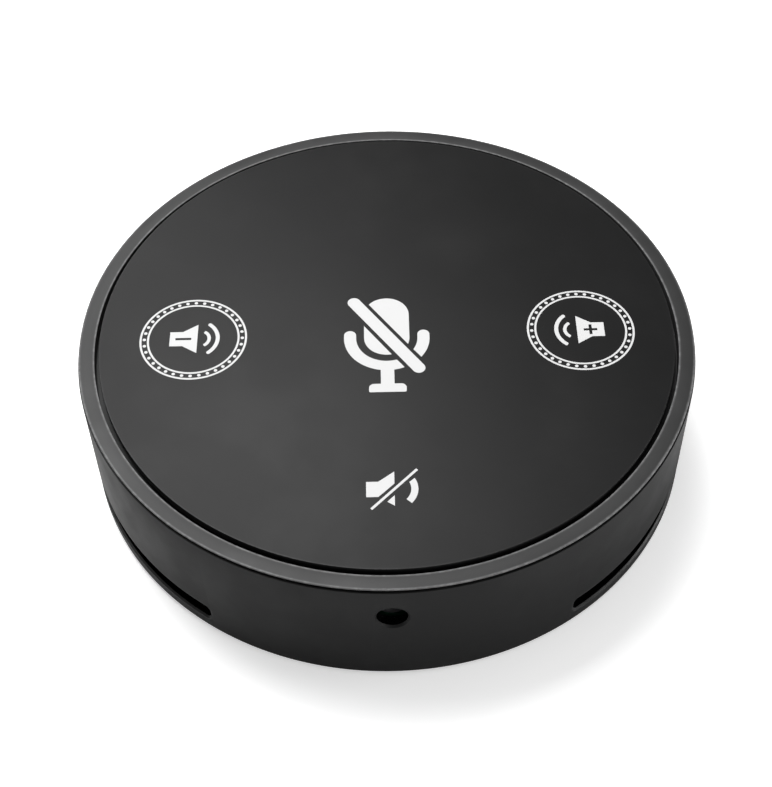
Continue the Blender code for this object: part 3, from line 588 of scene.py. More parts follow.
def blended(tree, share, first, second):
    """Mixes two colours by a mask."""
    made = node(tree, "ShaderNodeMix", {"Factor": share}, data_type="RGBA")
    for socket, colour in ((made.inputs[6], first), (made.inputs[7], second)):
        if isinstance(colour, bpy.types.NodeSocket):
            tree.links.new(colour, socket)
        else:
            socket.default_value = (*colour, 1.0)
    return made.outputs[2]


# ---------------------------------------------------------------- finishes

MOTTLE_SCALE = 45.0
FUZZ_HEIGHT = 0.25
GAP_TONE = 0.25
# lighter edge lines: wear on the key panel, painted highlight on the bezel and round the slot lips
WEAR_AND_HIGHLIGHT_LIFT = 0.01
WEAR_AND_HIGHLIGHT_SHARE = 0.6
WORN_POLISH = 0.12
HAIRLINE_SCALE = 32.0
HAIRLINE_ROUGHNESS = 0.2
DUST_COLOUR = (0.16, 0.155, 0.15)
DUST_ROUGHNESS = 0.3
# painted shade inside the wall: the width of its edge, its tone and the roughness there
SHADE_EDGE = 0.2
PAINTED_SHADE_TONE = 0.12
INSIDE_ROUGHNESS = 0.15
COAT_ROUGHNESS = 0.2


def finish(
    name,
    colour,
    roughness,
    metallic=0.0,
    specular=0.5,
    grain=3000.0,
    depth=0.01,
    pits=0.3,
    variation=0.12,
    rough_swing=0.06,
    dust=0.15,
    rims=(),
    slot_lip_highlight=None,
    shade_inside=None,
    hairlines=0.0,
    drawn=None,
    weave=None,
    coat=0.0,
    sheen=0.0,
    wear_and_highlight_tone=1.8,
):
    """A finish: tone and roughness vary slowly, with grain, dust, hairlines, edge wear, painted edge
    highlights and painted shade.

    depth is the grain's height in millimetres, and rims are (radius, height, width) in millimetres.
    slot_lip_highlight gives the sizes of the painted highlight round the slot lips. shade_inside is the
    radius in metres inside which the surface gets painted shade, darker and smoother, for the slots' inner
    faces and the inside of the wall. drawn is (along, across) for drawn lines, and weave is a thread's
    pitch in millimetres.
    """
    material = bpy.data.materials.new(name)
    material.use_nodes = True
    tree = material.node_tree
    shader = tree.nodes["Principled BSDF"]
    spot = node(tree, "ShaderNodeTexCoord").outputs["Object"]
    tone = effect(tree, "mottle", {"Vector": spot, "Scale": MOTTLE_SCALE}, "Tone")
    darker = tuple(part * (1.0 - variation) for part in colour)
    lighter = tuple(min(1.0, part * (1.0 + variation)) for part in colour)
    surface = blended(tree, tone, darker, lighter)
    rough = stretch(tree, tone, 0.0, 1.0, roughness - rough_swing, roughness + rough_swing)
    height = effect(tree, "grain", {"Vector": spot, "Scale": grain, "Pits": pits}, "Height")
    if drawn:
        height = effect(tree, "drawn", {"Vector": spot, "Along": drawn[0], "Across": drawn[1]}, "Height")
    if weave:
        inputs = {"Vector": spot, "Pitch": weave * MM}
        threads = effect(tree, "weave", inputs, "Height")
        gap = effect(tree, "weave", inputs, "Gap")
        fuzz = maths(tree, "MULTIPLY", height, FUZZ_HEIGHT)
        height = maths(tree, "ADD", threads, fuzz)
        surface = blended(tree, gap, surface, tuple(part * GAP_TONE for part in colour))
    # the lighter tone of edge wear and of the painted edge highlights
    wear_and_highlight_colour = tuple(min(1.0, part * wear_and_highlight_tone + WEAR_AND_HIGHLIGHT_LIFT) for part in colour)
    wear_and_highlight_edges = []
    for radius, level, width in rims:
        inputs = {"Vector": spot, "Radius": radius * MM, "Height": level * MM, "Width": width * MM}
        wear_and_highlight_edges.append(effect(tree, "rim", inputs, "Edge line"))
    if slot_lip_highlight:
        wear_and_highlight_edges.append(effect(tree, "slot", {"Vector": spot, **slot_lip_highlight}, "Edge line"))
    # each mask paints a lighter line: wear on the key panel, painted highlight on the bezel and the slot
    # lips
    for wear in wear_and_highlight_edges:
        surface = blended(tree, maths(tree, "MULTIPLY", wear, WEAR_AND_HIGHLIGHT_SHARE), surface, wear_and_highlight_colour)
        rough = maths(tree, "SUBTRACT", rough, maths(tree, "MULTIPLY", wear, WORN_POLISH), clamp=True)
    if hairlines:
        lines = effect(tree, "hairlines", {"Vector": spot, "Scale": HAIRLINE_SCALE}, "Lines")
        lines = maths(tree, "MULTIPLY", lines, hairlines)
        surface = blended(tree, lines, surface, wear_and_highlight_colour)
        rough = maths(tree, "ADD", rough, maths(tree, "MULTIPLY", lines, HAIRLINE_ROUGHNESS), clamp=True)
    if dust:
        settled = effect(tree, "dust", {"Vector": spot, "Amount": dust}, "Dust")
        surface = blended(tree, settled, surface, DUST_COLOUR)
        rough = maths(tree, "ADD", rough, maths(tree, "MULTIPLY", settled, DUST_ROUGHNESS), clamp=True)
    # painted shade: everything inside the given radius, such as the slots' inner faces, is painted darker
    if shade_inside:
        painted_shade = stretch(tree, turned_radius(tree, spot), shade_inside, shade_inside - SHADE_EDGE * MM)
        surface = blended(tree, painted_shade, surface, tuple(part * PAINTED_SHADE_TONE for part in colour))
        inputs = {"Factor": painted_shade, "A": rough, "B": INSIDE_ROUGHNESS}
        rough = node(tree, "ShaderNodeMix", inputs).outputs["Result"]
    tree.links.new(surface, shader.inputs["Base Color"])
    tree.links.new(rough, shader.inputs["Roughness"])
    bump = node(tree, "ShaderNodeBump", {"Height": height, "Strength": 1.0, "Distance": depth * MM})
    tree.links.new(bump.outputs["Normal"], shader.inputs["Normal"])
    shader.inputs["Metallic"].default_value = metallic
    shader.inputs["Specular IOR Level"].default_value = specular
    shader.inputs["Coat Weight"].default_value = coat
    shader.inputs["Coat Roughness"].default_value = COAT_ROUGHNESS
    shader.inputs["Sheen Weight"].default_value = sheen
    return material


MATERIALS = {}


def material(slot):
    """The finish for one of the record's slots, made once."""
    if slot in MATERIALS:
        return MATERIALS[slot]
    colours = bpy.context.scene.spk_colours
    top = bpy.context.scene.spk_top
    casing = bpy.context.scene.spk_casing
    # sizes of the painted highlight round the slot lips
    slot_lip_highlight = {
        "Radius": casing.body_radius,
        "Middle": (casing.slot_low + casing.slot_high) / 2.0,
        "Half length": (math.radians(90.0) - casing.slot_start) * casing.body_radius,
        "Half height": (casing.slot_high - casing.slot_low) / 2.0,
        "Corner": casing.slot_corner,
        "Width": casing.lip * 3.0,
    }
    # painted highlights along the bezel's outer and inner edges
    bezel_highlight_rims = [
        (top.bezel_radius / MM - 0.02, top.bezel_top / MM - 0.02, 0.5),
        (top.bezel_bore / MM + 0.02, top.bezel_top / MM, 0.5),
    ]
    panel_rims = [(top.panel_radius / MM - 0.06, top.panel_top / MM - 0.06, 0.35)]
    recipes = {
        # the wall's lighter slot-lip line is a painted highlight, and its inside gets painted shade
        "wall": dict(
            colour=colours.wall, roughness=0.5, specular=0.17, grain=2600.0, depth=0.006, pits=0.5,
            dust=0.1, slot_lip_highlight=slot_lip_highlight, shade_inside=casing.body_radius - casing.lip, wear_and_highlight_tone=5.0,
        ),
        # the bezel's lighter edge lines are a painted highlight
        "bezel": dict(
            colour=colours.bezel, roughness=0.42, specular=0.16, depth=0.003, dust=0.1,
            rims=bezel_highlight_rims, wear_and_highlight_tone=8.5,
        ),
        "panel": dict(
            colour=colours.panel, roughness=0.46, specular=0.14, grain=5200.0, depth=0.0015, pits=0.1,
            variation=0.05, rough_swing=0.02, dust=0.06, rims=panel_rims, hairlines=0.12,
        ),
        "cover": dict(
            colour=colours.cover, roughness=0.62, specular=0.3, grain=1500.0, depth=0.02, pits=0.8,
        ),
        "rubber": dict(
            colour=colours.rubber, roughness=0.85, specular=0.2, grain=2200.0, depth=0.012,
            sheen=0.1,
        ),
        "dust_cloth": dict(
            colour=colours.cloth, roughness=0.95, specular=0.02, weave=0.24, depth=0.05, dust=0.03,
        ),
        "inner_plastic": dict(
            colour=(0.06, 0.062, 0.065), roughness=0.55, grain=1800.0, depth=0.012,
        ),
        "steel": dict(
            colour=(0.55, 0.55, 0.56), roughness=0.32, metallic=1.0, drawn=(80.0, 5200.0),
            depth=0.003,
        ),
        "circuit_board": dict(
            colour=(0.015, 0.085, 0.04), roughness=0.42, coat=0.4, grain=900.0, depth=0.006,
        ),
        "chip_resin": dict(colour=(0.018, 0.018, 0.02), roughness=0.5, grain=6000.0, depth=0.006),
        "connector_plastic": dict(
            colour=(0.72, 0.71, 0.66), roughness=0.5, grain=2400.0, depth=0.006,
        ),
        "capacitor_can": dict(
            colour=(0.7, 0.7, 0.7), roughness=0.3, metallic=1.0, drawn=(3000.0, 90.0), depth=0.003,
        ),
        "socket_plastic": dict(
            colour=(0.012, 0.012, 0.013), roughness=0.5, grain=3600.0, depth=0.004,
        ),
        "pressed_steel": dict(
            colour=(0.08, 0.08, 0.085), roughness=0.4, metallic=0.6, grain=1800.0, depth=0.008,
        ),
        "magnet": dict(
            colour=(0.6, 0.59, 0.56), roughness=0.24, metallic=1.0, grain=1200.0, depth=0.004,
        ),
        "copper": dict(
            colour=(0.62, 0.27, 0.12), roughness=0.35, metallic=1.0, drawn=(40.0, 9000.0),
            depth=0.01,
        ),
        "cone_paper": dict(
            colour=(0.07, 0.07, 0.072), roughness=0.9, grain=1400.0, depth=0.03, pits=0.7,
            specular=0.2,
        ),
        "spider_cloth": dict(
            colour=(0.45, 0.26, 0.08), roughness=0.9, weave=0.35, depth=0.05, specular=0.2,
        ),
        "red_lead": dict(colour=(0.5, 0.02, 0.02), roughness=0.5, grain=2600.0, depth=0.004),
        "black_lead": dict(colour=(0.02, 0.02, 0.02), roughness=0.5, grain=2600.0, depth=0.004),
        "dome_steel": dict(
            colour=(0.62, 0.61, 0.58), roughness=0.28, metallic=1.0, drawn=(60.0, 4200.0),
            depth=0.002,
        ),
        "screw_steel": dict(
            colour=(0.06, 0.06, 0.064), roughness=0.36, metallic=0.8, grain=3400.0, depth=0.004,
        ),
    }
    MATERIALS[slot] = finish(slot.replace("_", " "), **recipes[slot])
    return MATERIALS[slot]


def print_material():
    """Screen-printed ink: a nearly even grey-white with a faint screen pattern."""
    return finish(
        "printed ink",
        bpy.context.scene.spk_colours.marks,
        0.55,
        specular=0.4,
        grain=7000.0,
        depth=0.0015,
        variation=0.02,
        rough_swing=0.03,
        dust=0.0,
    )


# ---------------------------------------------------------------- casing

WALL_THICKNESS = 2.0
SHELF_RADIUS = 54.0
SHELF_LOW = 13.2
SHELF_TOP = 14.6
# screw azimuths and the radius they stand at, boss radius, boss underside, bore bottom and bore top
BOSSES = (
    (COVER_SCREW_AZIMUTHS, COVER_SCREW_RADIUS, 3.3, 2.9, 1.9, 9.6),
    (FRAME_SCREW_AZIMUTHS, FRAME_SCREW_RADIUS, 2.9, 9.9, 10.5, 15.6),
)
BOSS_TOP = 13.5
SCREW_BORE = 1.3
SLOT_STATIONS = 72
FLARE_GROWTH = 0.95
FLARE_DEPTH = 0.42
PORT_HALF_WIDTH = 4.95
PORT_LOW = 16.2
PORT_HIGH = 20.4
PORT_ROUND = 2.09
PORT_LIP_DEPTH = 0.35
PORT_LIP_GROWTH = (1.14, 1.0, 1.32)
SKIRT_RADIUS = 57.6
SKIRT_LOW = 24.9
LEDGE_RADIUS = 54.5
LEDGE_TOP = 25.7
COVER_RADIUS = 57.9
COVER_TOP = 2.6
COVER_LOW = 0.8
GROOVE_OUTER = 50.5
GROOVE_INNER = 42.5
GROOVE_TOP = 1.8
RECESS_RADIUS = 24.6
RECESS_TOP = 1.05
WELL_RADIUS = 2.5
WELL_TOP = 1.9
WELL_MOUTH = 2.92
PLATE_RADIUS = 24.2
FOOT_OUTER = 50.2
FOOT_INNER = 42.8
FOOT_TOP = 1.5
TREAD_MIDDLES = (48.6, 46.5, 44.4)
TREAD_DEPTH = 0.28
CLOTH_RADII = (57.2, 57.6)
CLOTH_HEIGHTS = (3.29, 8.09)
CLOTH_REACH = 57.6


def wrapped_slot_cutter(name, side, sizes, grow, inner, outer):
    """A slot-shaped block, made flat and wrapped round the axis; grow widens its outer face."""
    radius = sizes.body_radius / MM
    reach = math.degrees(math.radians(90.0) - sizes.slot_start)
    half = math.radians(reach) * radius
    low, high = sizes.slot_low / MM, sizes.slot_high / MM
    cutter = block(name, (-half, inner, low), (half, outer, high))
    bevelled(cutter, sizes.slot_corner / MM, 6, runs_along(1))
    if grow > 0.0:
        edit(cutter)
        pick(cutter, "FACE", lambda face: face.normal.y > 0.9)
        middle = Vector((0.0, outer * MM, (low + high) / 2.0 * MM))
        wide = (half + grow) / half
        tall = ((high - low) / 2.0 + grow) / ((high - low) / 2.0)
        bpy.ops.transform.resize(value=(wide, 1.0, tall), center_override=middle)
        done(cutter)
    edit(cutter)
    for station in range(1, SLOT_STATIONS):
        bpy.ops.mesh.select_all(action="SELECT")
        at = (-half + 2.0 * half * station / SLOT_STATIONS) * MM
        bpy.ops.mesh.bisect(plane_co=(at, 0.0, 0.0), plane_no=(1.0, 0.0, 0.0))
    done(cutter)
    for corner in cutter.data.vertices:
        azimuth = side * 90.0 - math.degrees(corner.co.x / (radius * MM))
        x, y = place(azimuth, corner.co.y)
        corner.co = (x, y, corner.co.z)
    edit(cutter)
    tidy_shell()
    return done(cutter)


class SPK_OT_housing(bpy.types.Operator):
    """Turns the side wall and cuts the sound slots, the headset hole and the cable port"""

    bl_idname = "spk.housing"
    bl_label = "Side wall"

    def port_tool(self, name, near, far):
        """A block with the cable port's round outline, between two distances from the axis."""
        low, high = (-PORT_HALF_WIDTH, near, PORT_LOW), (PORT_HALF_WIDTH, far, PORT_HIGH)
        return bevelled(block(name, low, high), PORT_ROUND, 8, runs_along(1))

    def execute(self, context):
        sizes = context.scene.spk_casing
        outer = sizes.body_radius / MM
        inner = outer - WALL_THICKNESS
        low, top = sizes.wall_low / MM, sizes.wall_top / MM
        corners = [
            (outer, top - 0.2, 0.12),
            (outer, low, sizes.edge_round / MM),
            (inner + 0.2, low, 0.12),
            (inner + 0.2, 2.9, 0.0),
            (inner, 3.1, 0.0),
            (inner, SHELF_LOW, 0.4),
            (SHELF_RADIUS, SHELF_LOW, 0.15),
            (SHELF_RADIUS, SHELF_TOP, 0.15),
            (inner, SHELF_TOP, 0.4),
            (inner, top - 1.35, 0.1),
            (59.4, top - 0.2, 0.08),
        ]
        wall = turned("housing_wall", corners, WALL_STEPS)
        for azimuths, radius, boss, boss_low, _, _ in BOSSES:
            for azimuth in azimuths:
                x, y = place(azimuth, radius)
                change(wall, rod("boss", (x, y, boss_low), (x, y, BOSS_TOP), boss, 32), "UNION")
        for azimuths, radius, _, _, bore_low, bore_top in BOSSES:
            for azimuth in azimuths:
                x, y = place(azimuth, radius)
                change(wall, rod("boss_bore", (x, y, bore_low), (x, y, bore_top), SCREW_BORE, 24))
        lip = sizes.lip / MM
        for side in (1.0, -1.0):
            change(wall, wrapped_slot_cutter("slot_tool", side, sizes, 0.0, inner - 1.5, outer + 1.5))
            near, far = outer - lip, outer + lip
            change(wall, wrapped_slot_cutter("slot_lip_tool", side, sizes, 2.0 * lip, near, far))
        height = sizes.jack_height / MM
        hole = sizes.jack_radius / MM
        change(wall, rod("hole_tool", (0.0, -outer - 2.0, height), (0.0, -outer + 4.0, height), hole))
        flare_start, flare_end = (0.0, -outer - 0.5, height), (0.0, -outer + FLARE_DEPTH, height)
        change(wall, rod("flare_tool", flare_start, flare_end, hole + FLARE_GROWTH, FINE_STEPS, hole))
        port = self.port_tool("port_tool", outer - 4.0, outer + 2.0)
        change(wall, port)
        mouth = self.port_tool("port_lip_tool", outer - PORT_LIP_DEPTH, outer + 1.0 - PORT_LIP_DEPTH)
        edit(mouth)
        pick(mouth, "FACE", lambda face: face.normal.y > 0.9)
        middle = (0.0, outer * MM, (PORT_LOW + PORT_HIGH) / 2.0 * MM)
        bpy.ops.transform.resize(value=PORT_LIP_GROWTH, center_override=middle)
        change(wall, done(mouth))
        smooth(wall)
        finished(wall, "base", material("wall"), ["housing"])
        return {"FINISHED"}


class SPK_OT_bezel(bpy.types.Operator):
    """Turns the flat ring round the key panel, with its skirt and ledge"""

    bl_idname = "spk.bezel"
    bl_label = "Bezel ring"

    def execute(self, context):
        sizes = context.scene.spk_top
        outer, bore, top = sizes.bezel_radius / MM, sizes.bezel_bore / MM, sizes.bezel_top / MM
        corners = [
            (outer, top, 0.14),
            (outer, top - 0.26, 0.03),
            (58.5, 27.05, 0.0),
            (SKIRT_RADIUS, 26.6, 0.0),
            (SKIRT_RADIUS, SKIRT_LOW, 0.1),
            (LEDGE_RADIUS, SKIRT_LOW, 0.1),
            (LEDGE_RADIUS, LEDGE_TOP, 0.1),
            (bore, LEDGE_TOP, 0.1),
            (bore, top, 0.09),
        ]
        ring = smooth(turned("bezel_top_ring", corners))
        finished(ring, "base", material("bezel"), ["bezel_ring"])
        return {"FINISHED"}


class SPK_OT_bottom(bpy.types.Operator):
    """Turns the bottom cover with its foot groove, blank plate recess and screw wells, and the foot ring"""

    bl_idname = "spk.bottom"
    bl_label = "Bottom cover and foot"

    def execute(self, context):
        corners = [
            (0.0, 5.4, 0.0),
            (5.0, 4.9, 0.8),
            (16.0, COVER_TOP, 1.0),
            (COVER_RADIUS, COVER_TOP, 0.1),
            (COVER_RADIUS, COVER_LOW, 0.35),
            (GROOVE_OUTER, COVER_LOW, 0.12),
            (GROOVE_OUTER, GROOVE_TOP, 0.0),
            (GROOVE_INNER, GROOVE_TOP, 0.0),
            (GROOVE_INNER, COVER_LOW, 0.12),
            (RECESS_RADIUS, COVER_LOW, 0.1),
            (RECESS_RADIUS, RECESS_TOP, 0.05),
            (0.0, RECESS_TOP, 0.0),
        ]
        cover = turned("bottom_cover_plate", corners)
        for azimuth in COVER_SCREW_AZIMUTHS:
            x, y = place(azimuth, COVER_SCREW_RADIUS)
            change(cover, rod("screw_hole", (x, y, 0.0), (x, y, 3.6), SCREW_BORE, 32))
            change(cover, rod("screw_well", (x, y, 0.0), (x, y, WELL_TOP), WELL_RADIUS, 40))
            change(cover, rod("well_lip", (x, y, 0.6), (x, y, 1.05), WELL_MOUTH, 40, WELL_RADIUS))
        smooth(cover)
        finished(cover, "base", material("cover"), ["bottom_cover"])
        rating = [(0.0, 1.04, 0.0), (PLATE_RADIUS, 1.04, 0.0), (PLATE_RADIUS, 0.9, 0.05), (0.0, 0.9, 0.0)]
        plate = smooth(turned("blank_rating_plate", rating))
        label = finish(
            "blank label",
            (0.12, 0.12, 0.122),
            0.45,
            grain=1600.0,
            depth=0.004,
            variation=0.03,
            rough_swing=0.03,
        )
        finished(plate, "base", label)
        foot = [(FOOT_OUTER, FOOT_TOP, 0.1), (FOOT_OUTER, 0.0, 0.3)]
        for middle in TREAD_MIDDLES:
            foot += [(middle + 0.35, 0.0, 0.08), (middle + 0.2, TREAD_DEPTH, 0.05)]
            foot += [(middle - 0.2, TREAD_DEPTH, 0.05), (middle - 0.35, 0.0, 0.08)]
        foot += [(FOOT_INNER, 0.0, 0.3), (FOOT_INNER, FOOT_TOP, 0.1)]
        ring = smooth(turned("rubber_foot_ring", foot))
        finished(ring, "base", material("rubber"), ["foot_ring"])
        return {"FINISHED"}


class SPK_OT_dust_cloths(bpy.types.Operator):
    """Sweeps the strip of dust cloth behind each sound slot"""

    bl_idname = "spk.dust_cloths"
    bl_label = "Dust cloths"

    def execute(self, context):
        inner, outer = CLOTH_RADII
        low, high = CLOTH_HEIGHTS
        section = rounded([(outer, high, 0.1), (outer, low, 0.1), (inner, low, 0.1), (inner, high, 0.1)])
        for name, middle in (("right", 90.0), ("left", -90.0)):
            start, end = middle - CLOTH_REACH, middle + CLOTH_REACH
            strip = smooth(swept("dust_cloth_" + name, section, start, end, 96))
            finished(strip, "base", material("dust_cloth"), ["slot_mesh_" + name])
        return {"FINISHED"}


# ---------------------------------------------------------------- key panel and marks


class SPK_OT_key_panel(bpy.types.Operator):
    """Turns the floating key panel"""

    bl_idname = "spk.key_panel"
    bl_label = "Key panel"

    def execute(self, context):
        sizes = context.scene.spk_top
        radius, top, low = sizes.panel_radius / MM, sizes.panel_top / MM, sizes.panel_low / MM
        corners = [(0.0, top, 0.0), (radius, top, 0.09), (radius, low, 0.1), (0.0, low, 0.0)]
        panel = smooth(turned("key_panel_plate", corners))
        finished(panel, "key_panel", material("panel"), ["top_panel"])
        return {"FINISHED"}


MARK_SHIFT = (0.1, -0.13, 0.0)


class MarkMaker:
    """Makes the printed marks' plates between two heights, in millimetres."""

    def __init__(self, low, high):
        self.low = low
        self.high = high

    def bar(self, start, end, width, cap=None, segments=10):
        """A straight bar; cap is its corner radius, and half the width unless given."""
        start, end = Vector(start), Vector(end)
        along = end - start
        middle = (start + end) / 2.0
        half = Vector((along.length / 2.0, width / 2.0))
        clear_selection()
        bpy.ops.mesh.primitive_cube_add(
            size=1.0, scale=(2.0 * half.x * MM, 2.0 * half.y * MM, (self.high - self.low) * MM)
        )
        bar = settle(added("bar"))
        cap = half.y * 0.995 if cap is None else cap
        if cap > 0.0:
            bevelled(bar, cap, segments, runs_along(2))
        at = (middle.x, middle.y, (self.low + self.high) / 2.0)
        return moved(bar, at, math.atan2(along.y, along.x))

    def plate(self, outline):
        """A plate with straight sides round a list of corners."""
        clear_selection()
        bpy.ops.mesh.primitive_circle_add(vertices=len(outline), radius=MM, fill_type="NGON")
        plate = added("plate")
        for corner, (x, y) in zip(plate.data.vertices, outline):
            corner.co = (x * MM, y * MM, self.low * MM)
        edit(plate, everything=True)
        rise = (0.0, 0.0, (self.high - self.low) * MM)
        bpy.ops.mesh.extrude_region_move(TRANSFORM_OT_translate={"value": rise})
        tidy_shell()
        return done(plate)

    def arc(self, centre, radius, width, facing, half_angle, round_ends=True, steps=24):
        """An arc-shaped line; facing is the direction of its middle, in degrees from +X."""
        half = width / 2.0
        near, far = radius - half, radius + half
        section = [(near, self.low), (far, self.low), (far, self.high), (near, self.high)]
        arc = swept("arc", section, -half_angle, half_angle, steps)
        if round_ends:

            def at_end(edge):
                spot = (edge.verts[0].co + edge.verts[1].co) / 2.0
                turn = math.degrees(math.atan2(spot.x, -spot.y))
                return runs_along(2)(edge) and abs(abs(turn) - half_angle) < 0.05

            bevelled(arc, half * 0.98, 6, at_end)
        return moved(arc, (*centre, 0.0), math.radians(facing + 90.0))

    def ring(self, centre, outer, inner, steps=96):
        """A flat ring between two radii."""
        section = [(outer, self.high), (outer, self.low), (inner, self.low), (inner, self.high)]
        ring = turned("ring", [(radius, level, 0.0) for radius, level in section], steps)
        return moved(ring, (*centre, 0.0))

    def dots(self, centre, radius, size, count):
        """Small round dots on a circle: one is made and spun round as copies."""
        spot = rod("dots", (radius, 0.0, self.low), (radius, 0.0, self.high), size / 2.0, 14)
        edit(spot, everything=True)
        bpy.ops.mesh.spin(
            steps=count, angle=math.tau, dupli=True, center=(0.0, 0.0, 0.0), axis=(0.0, 0.0, 1.0)
        )
        bpy.ops.mesh.select_all(action="SELECT")
        bpy.ops.mesh.remove_doubles(threshold=MERGE)
        done(spot)
        return moved(spot, (*centre, 0.0))


def trimmed(thing, point, away):
    """Cuts a plate along a straight line and keeps the side that away points from."""
    edit(thing, everything=True)
    bpy.ops.mesh.bisect(
        plane_co=(point[0] * MM, point[1] * MM, 0.0),
        plane_no=(away[0], away[1], 0.0),
        use_fill=True,
        clear_outer=True,
    )
    return done(thing)


def split_by_band(thing, start, end, left_gap, right_gap):
    """Two halves of a plate, with a clear band beside a line from start to end; gaps are from the line."""
    along = (Vector(end) - Vector(start)).normalized()
    left = Vector((-along.y, along.x))
    twin = copied(thing, thing.name + "_half")
    first = trimmed(thing, Vector(start) + left * left_gap, -left)
    second = trimmed(twin, Vector(start) - left * right_gap, left)
    return [half for half in (first, second) if len(half.data.polygons) > 0]


class SPK_OT_marks(bpy.types.Operator):
    """Prints the four key marks on the panel"""

    bl_idname = "spk.marks"
    bl_label = "Printed marks"

    def microphone(self, maker):
        """A microphone on a foot, struck through."""
        slash, clear, stroke = ((-7.07, 8.58), (6.73, -10.91)), 2.07, 2.54
        reach, line = 7.135, 2.35
        capsule = maker.bar((0.0, 8.55), (0.0, -6.37), 8.82, segments=16)
        cradle = maker.arc((0.0, -2.0), reach, line, -90.0, 90.0, round_ends=False, steps=40)
        thin = MarkMaker(maker.low + 0.002, maker.high - 0.002)
        thinner = MarkMaker(maker.low + 0.004, maker.high - 0.004)
        for side in (-1.0, 1.0):
            arm = thin.bar((side * reach, -3.17), (side * reach, -0.05), line)
            change(cradle, arm, "UNION")
        foot = thinner.bar((-3.56, -14.73), (3.56, -14.73), 2.06, cap=0.0)
        upright = runs_along(2)
        bevelled(foot, 1.0, 8, lambda edge: upright(edge) and edge.verts[0].co.y > -14.0 * MM)
        bevelled(foot, 0.3, 4, lambda edge: upright(edge) and edge.verts[0].co.y < -15.5 * MM)
        change(cradle, thin.bar((0.0, -9.6), (0.0, -14.4), 2.58, cap=0.0), "UNION")
        change(cradle, foot, "UNION")
        halves = split_by_band(capsule, *slash, clear, clear) + split_by_band(cradle, *slash, clear, clear)
        return [maker.bar(*slash, stroke), *halves]

    def volume(self, maker, centre, side, plus):
        """One volume mark; side is -1 where the horn's box stands on the left."""
        x, y = centre
        box, sign = 4.59, 0.58
        half, neck, horn, mouth = (1.84, 2.09, 0.79, 3.69) if side < 0.0 else (1.80, 2.13, 0.73, 3.60)
        outline = [(box, half), (neck, half), (-horn, mouth), (-horn, -mouth), (neck, -half), (box, -half)]
        speaker = maker.plate([(x + side * px, y + py) for px, py in outline])
        tall = MarkMaker(maker.low - 0.1, maker.high + 0.1)
        if plus:
            change(speaker, tall.bar((x + 0.60, y), (x + 3.24, y), sign, cap=0.0))
            change(speaker, tall.bar((x + 1.92, y - 1.29), (x + 1.92, y + 1.29), sign, cap=0.0))
        else:
            change(speaker, tall.bar((x - 3.49, y), (x - 0.40, y), sign, cap=0.0))
        facing = 0.0 if side < 0.0 else 180.0
        near = maker.arc((x - side * 1.0, y), 2.09, 0.66, facing, 58.0)
        far = maker.arc((x + side * 0.03, y), 4.78, 0.77, facing, 53.5)
        outer_line = maker.ring(centre, 10.46, 10.06)
        inner_line = maker.ring(centre, 9.01, 8.62)
        return [speaker, near, far, outer_line, inner_line, maker.dots(centre, 9.54, 0.68, 36)]

    def speaker_mute(self, maker):
        """A loudspeaker with one wave, struck through."""
        slash, clear_left, clear_right = ((-3.44, -42.93), (4.96, -34.20)), 0.83, 0.98
        box, neck, horn = -4.31, -2.13, 0.80
        outline = [(box, -36.87), (neck, -36.87), (horn, -34.64)]
        outline += [(horn, -42.27), (neck, -40.26), (box, -40.26)]
        speaker = split_by_band(maker.plate(outline), *slash, clear_left, clear_right)
        wave = maker.arc((0.31, -38.51), 4.12, 1.28, 0.0, 42.4, round_ends=False)
        along = (Vector(slash[1]) - Vector(slash[0])).normalized()
        left = Vector((-along.y, along.x))
        trimmed(wave, Vector(slash[0]) - left * clear_right, left)
        return [maker.bar(*slash, 0.5, cap=0.1), *speaker, wave]

    def execute(self, context):
        sizes = context.scene.spk_top
        level = sizes.panel_top / MM
        maker = MarkMaker(level - 0.03, level + sizes.print_thickness / MM)
        ink = print_material()
        marks = {
            "mark_mic_mute": lambda: self.microphone(maker),
            "mark_volume_down": lambda: self.volume(maker, (-37.65, -1.19), -1.0, False),
            "mark_volume_up": lambda: self.volume(maker, (37.79, -0.89), 1.0, True),
            "mark_speaker_mute": lambda: self.speaker_mute(maker),
        }
        for name, draw in marks.items():
            mark = moved(joined(name, draw()), MARK_SHIFT)
            finished(mark, "key_panel", ink)
        return {"FINISHED"}


# ---------------------------------------------------------------- sockets and screws

CONTACTS_PER_SIDE = 12
CONTACT_PITCH = 0.5
CORE_RADIUS = 0.78
THREAD_RADIUS = 0.95
THREAD_PITCH = 0.5
RECESS_HALF_WIDTH = 0.24
RECESS_DEPTH = 0.35


class SPK_OT_headset_socket(bpy.types.Operator):
    """Makes the headset socket behind the hole in the front"""

    bl_idname = "spk.headset_socket"
    bl_label = "Headset socket"

    def execute(self, context):
        height = context.scene.spk_casing.jack_height / MM
        body = block("headset_socket_body", (-3.2, -56.6, 17.0), (3.2, -45.0, 22.0))
        bevelled(body, 0.35, 3, sharp)
        change(body, rod("collar", (0.0, -57.3, height), (0.0, -56.0, height), 2.45), "UNION")
        change(body, rod("bore", (0.0, -58.0, height), (0.0, -46.0, height), 1.8))
        change(body, rod("bore_mouth", (0.0, -57.5, height), (0.0, -56.9, height), 2.2, FINE_STEPS, 1.8))
        smooth(body)
        finished(body, "base", material("socket_plastic"), ["headset_jack"])
        sleeve = rod("headset_contact_sleeve", (0.0, -56.6, height), (0.0, -54.2, height), 1.79)
        change(sleeve, rod("sleeve_bore", (0.0, -57.0, height), (0.0, -54.0, height), 1.66))
        smooth(sleeve)
        finished(sleeve, "base", material("steel"))
        return {"FINISHED"}


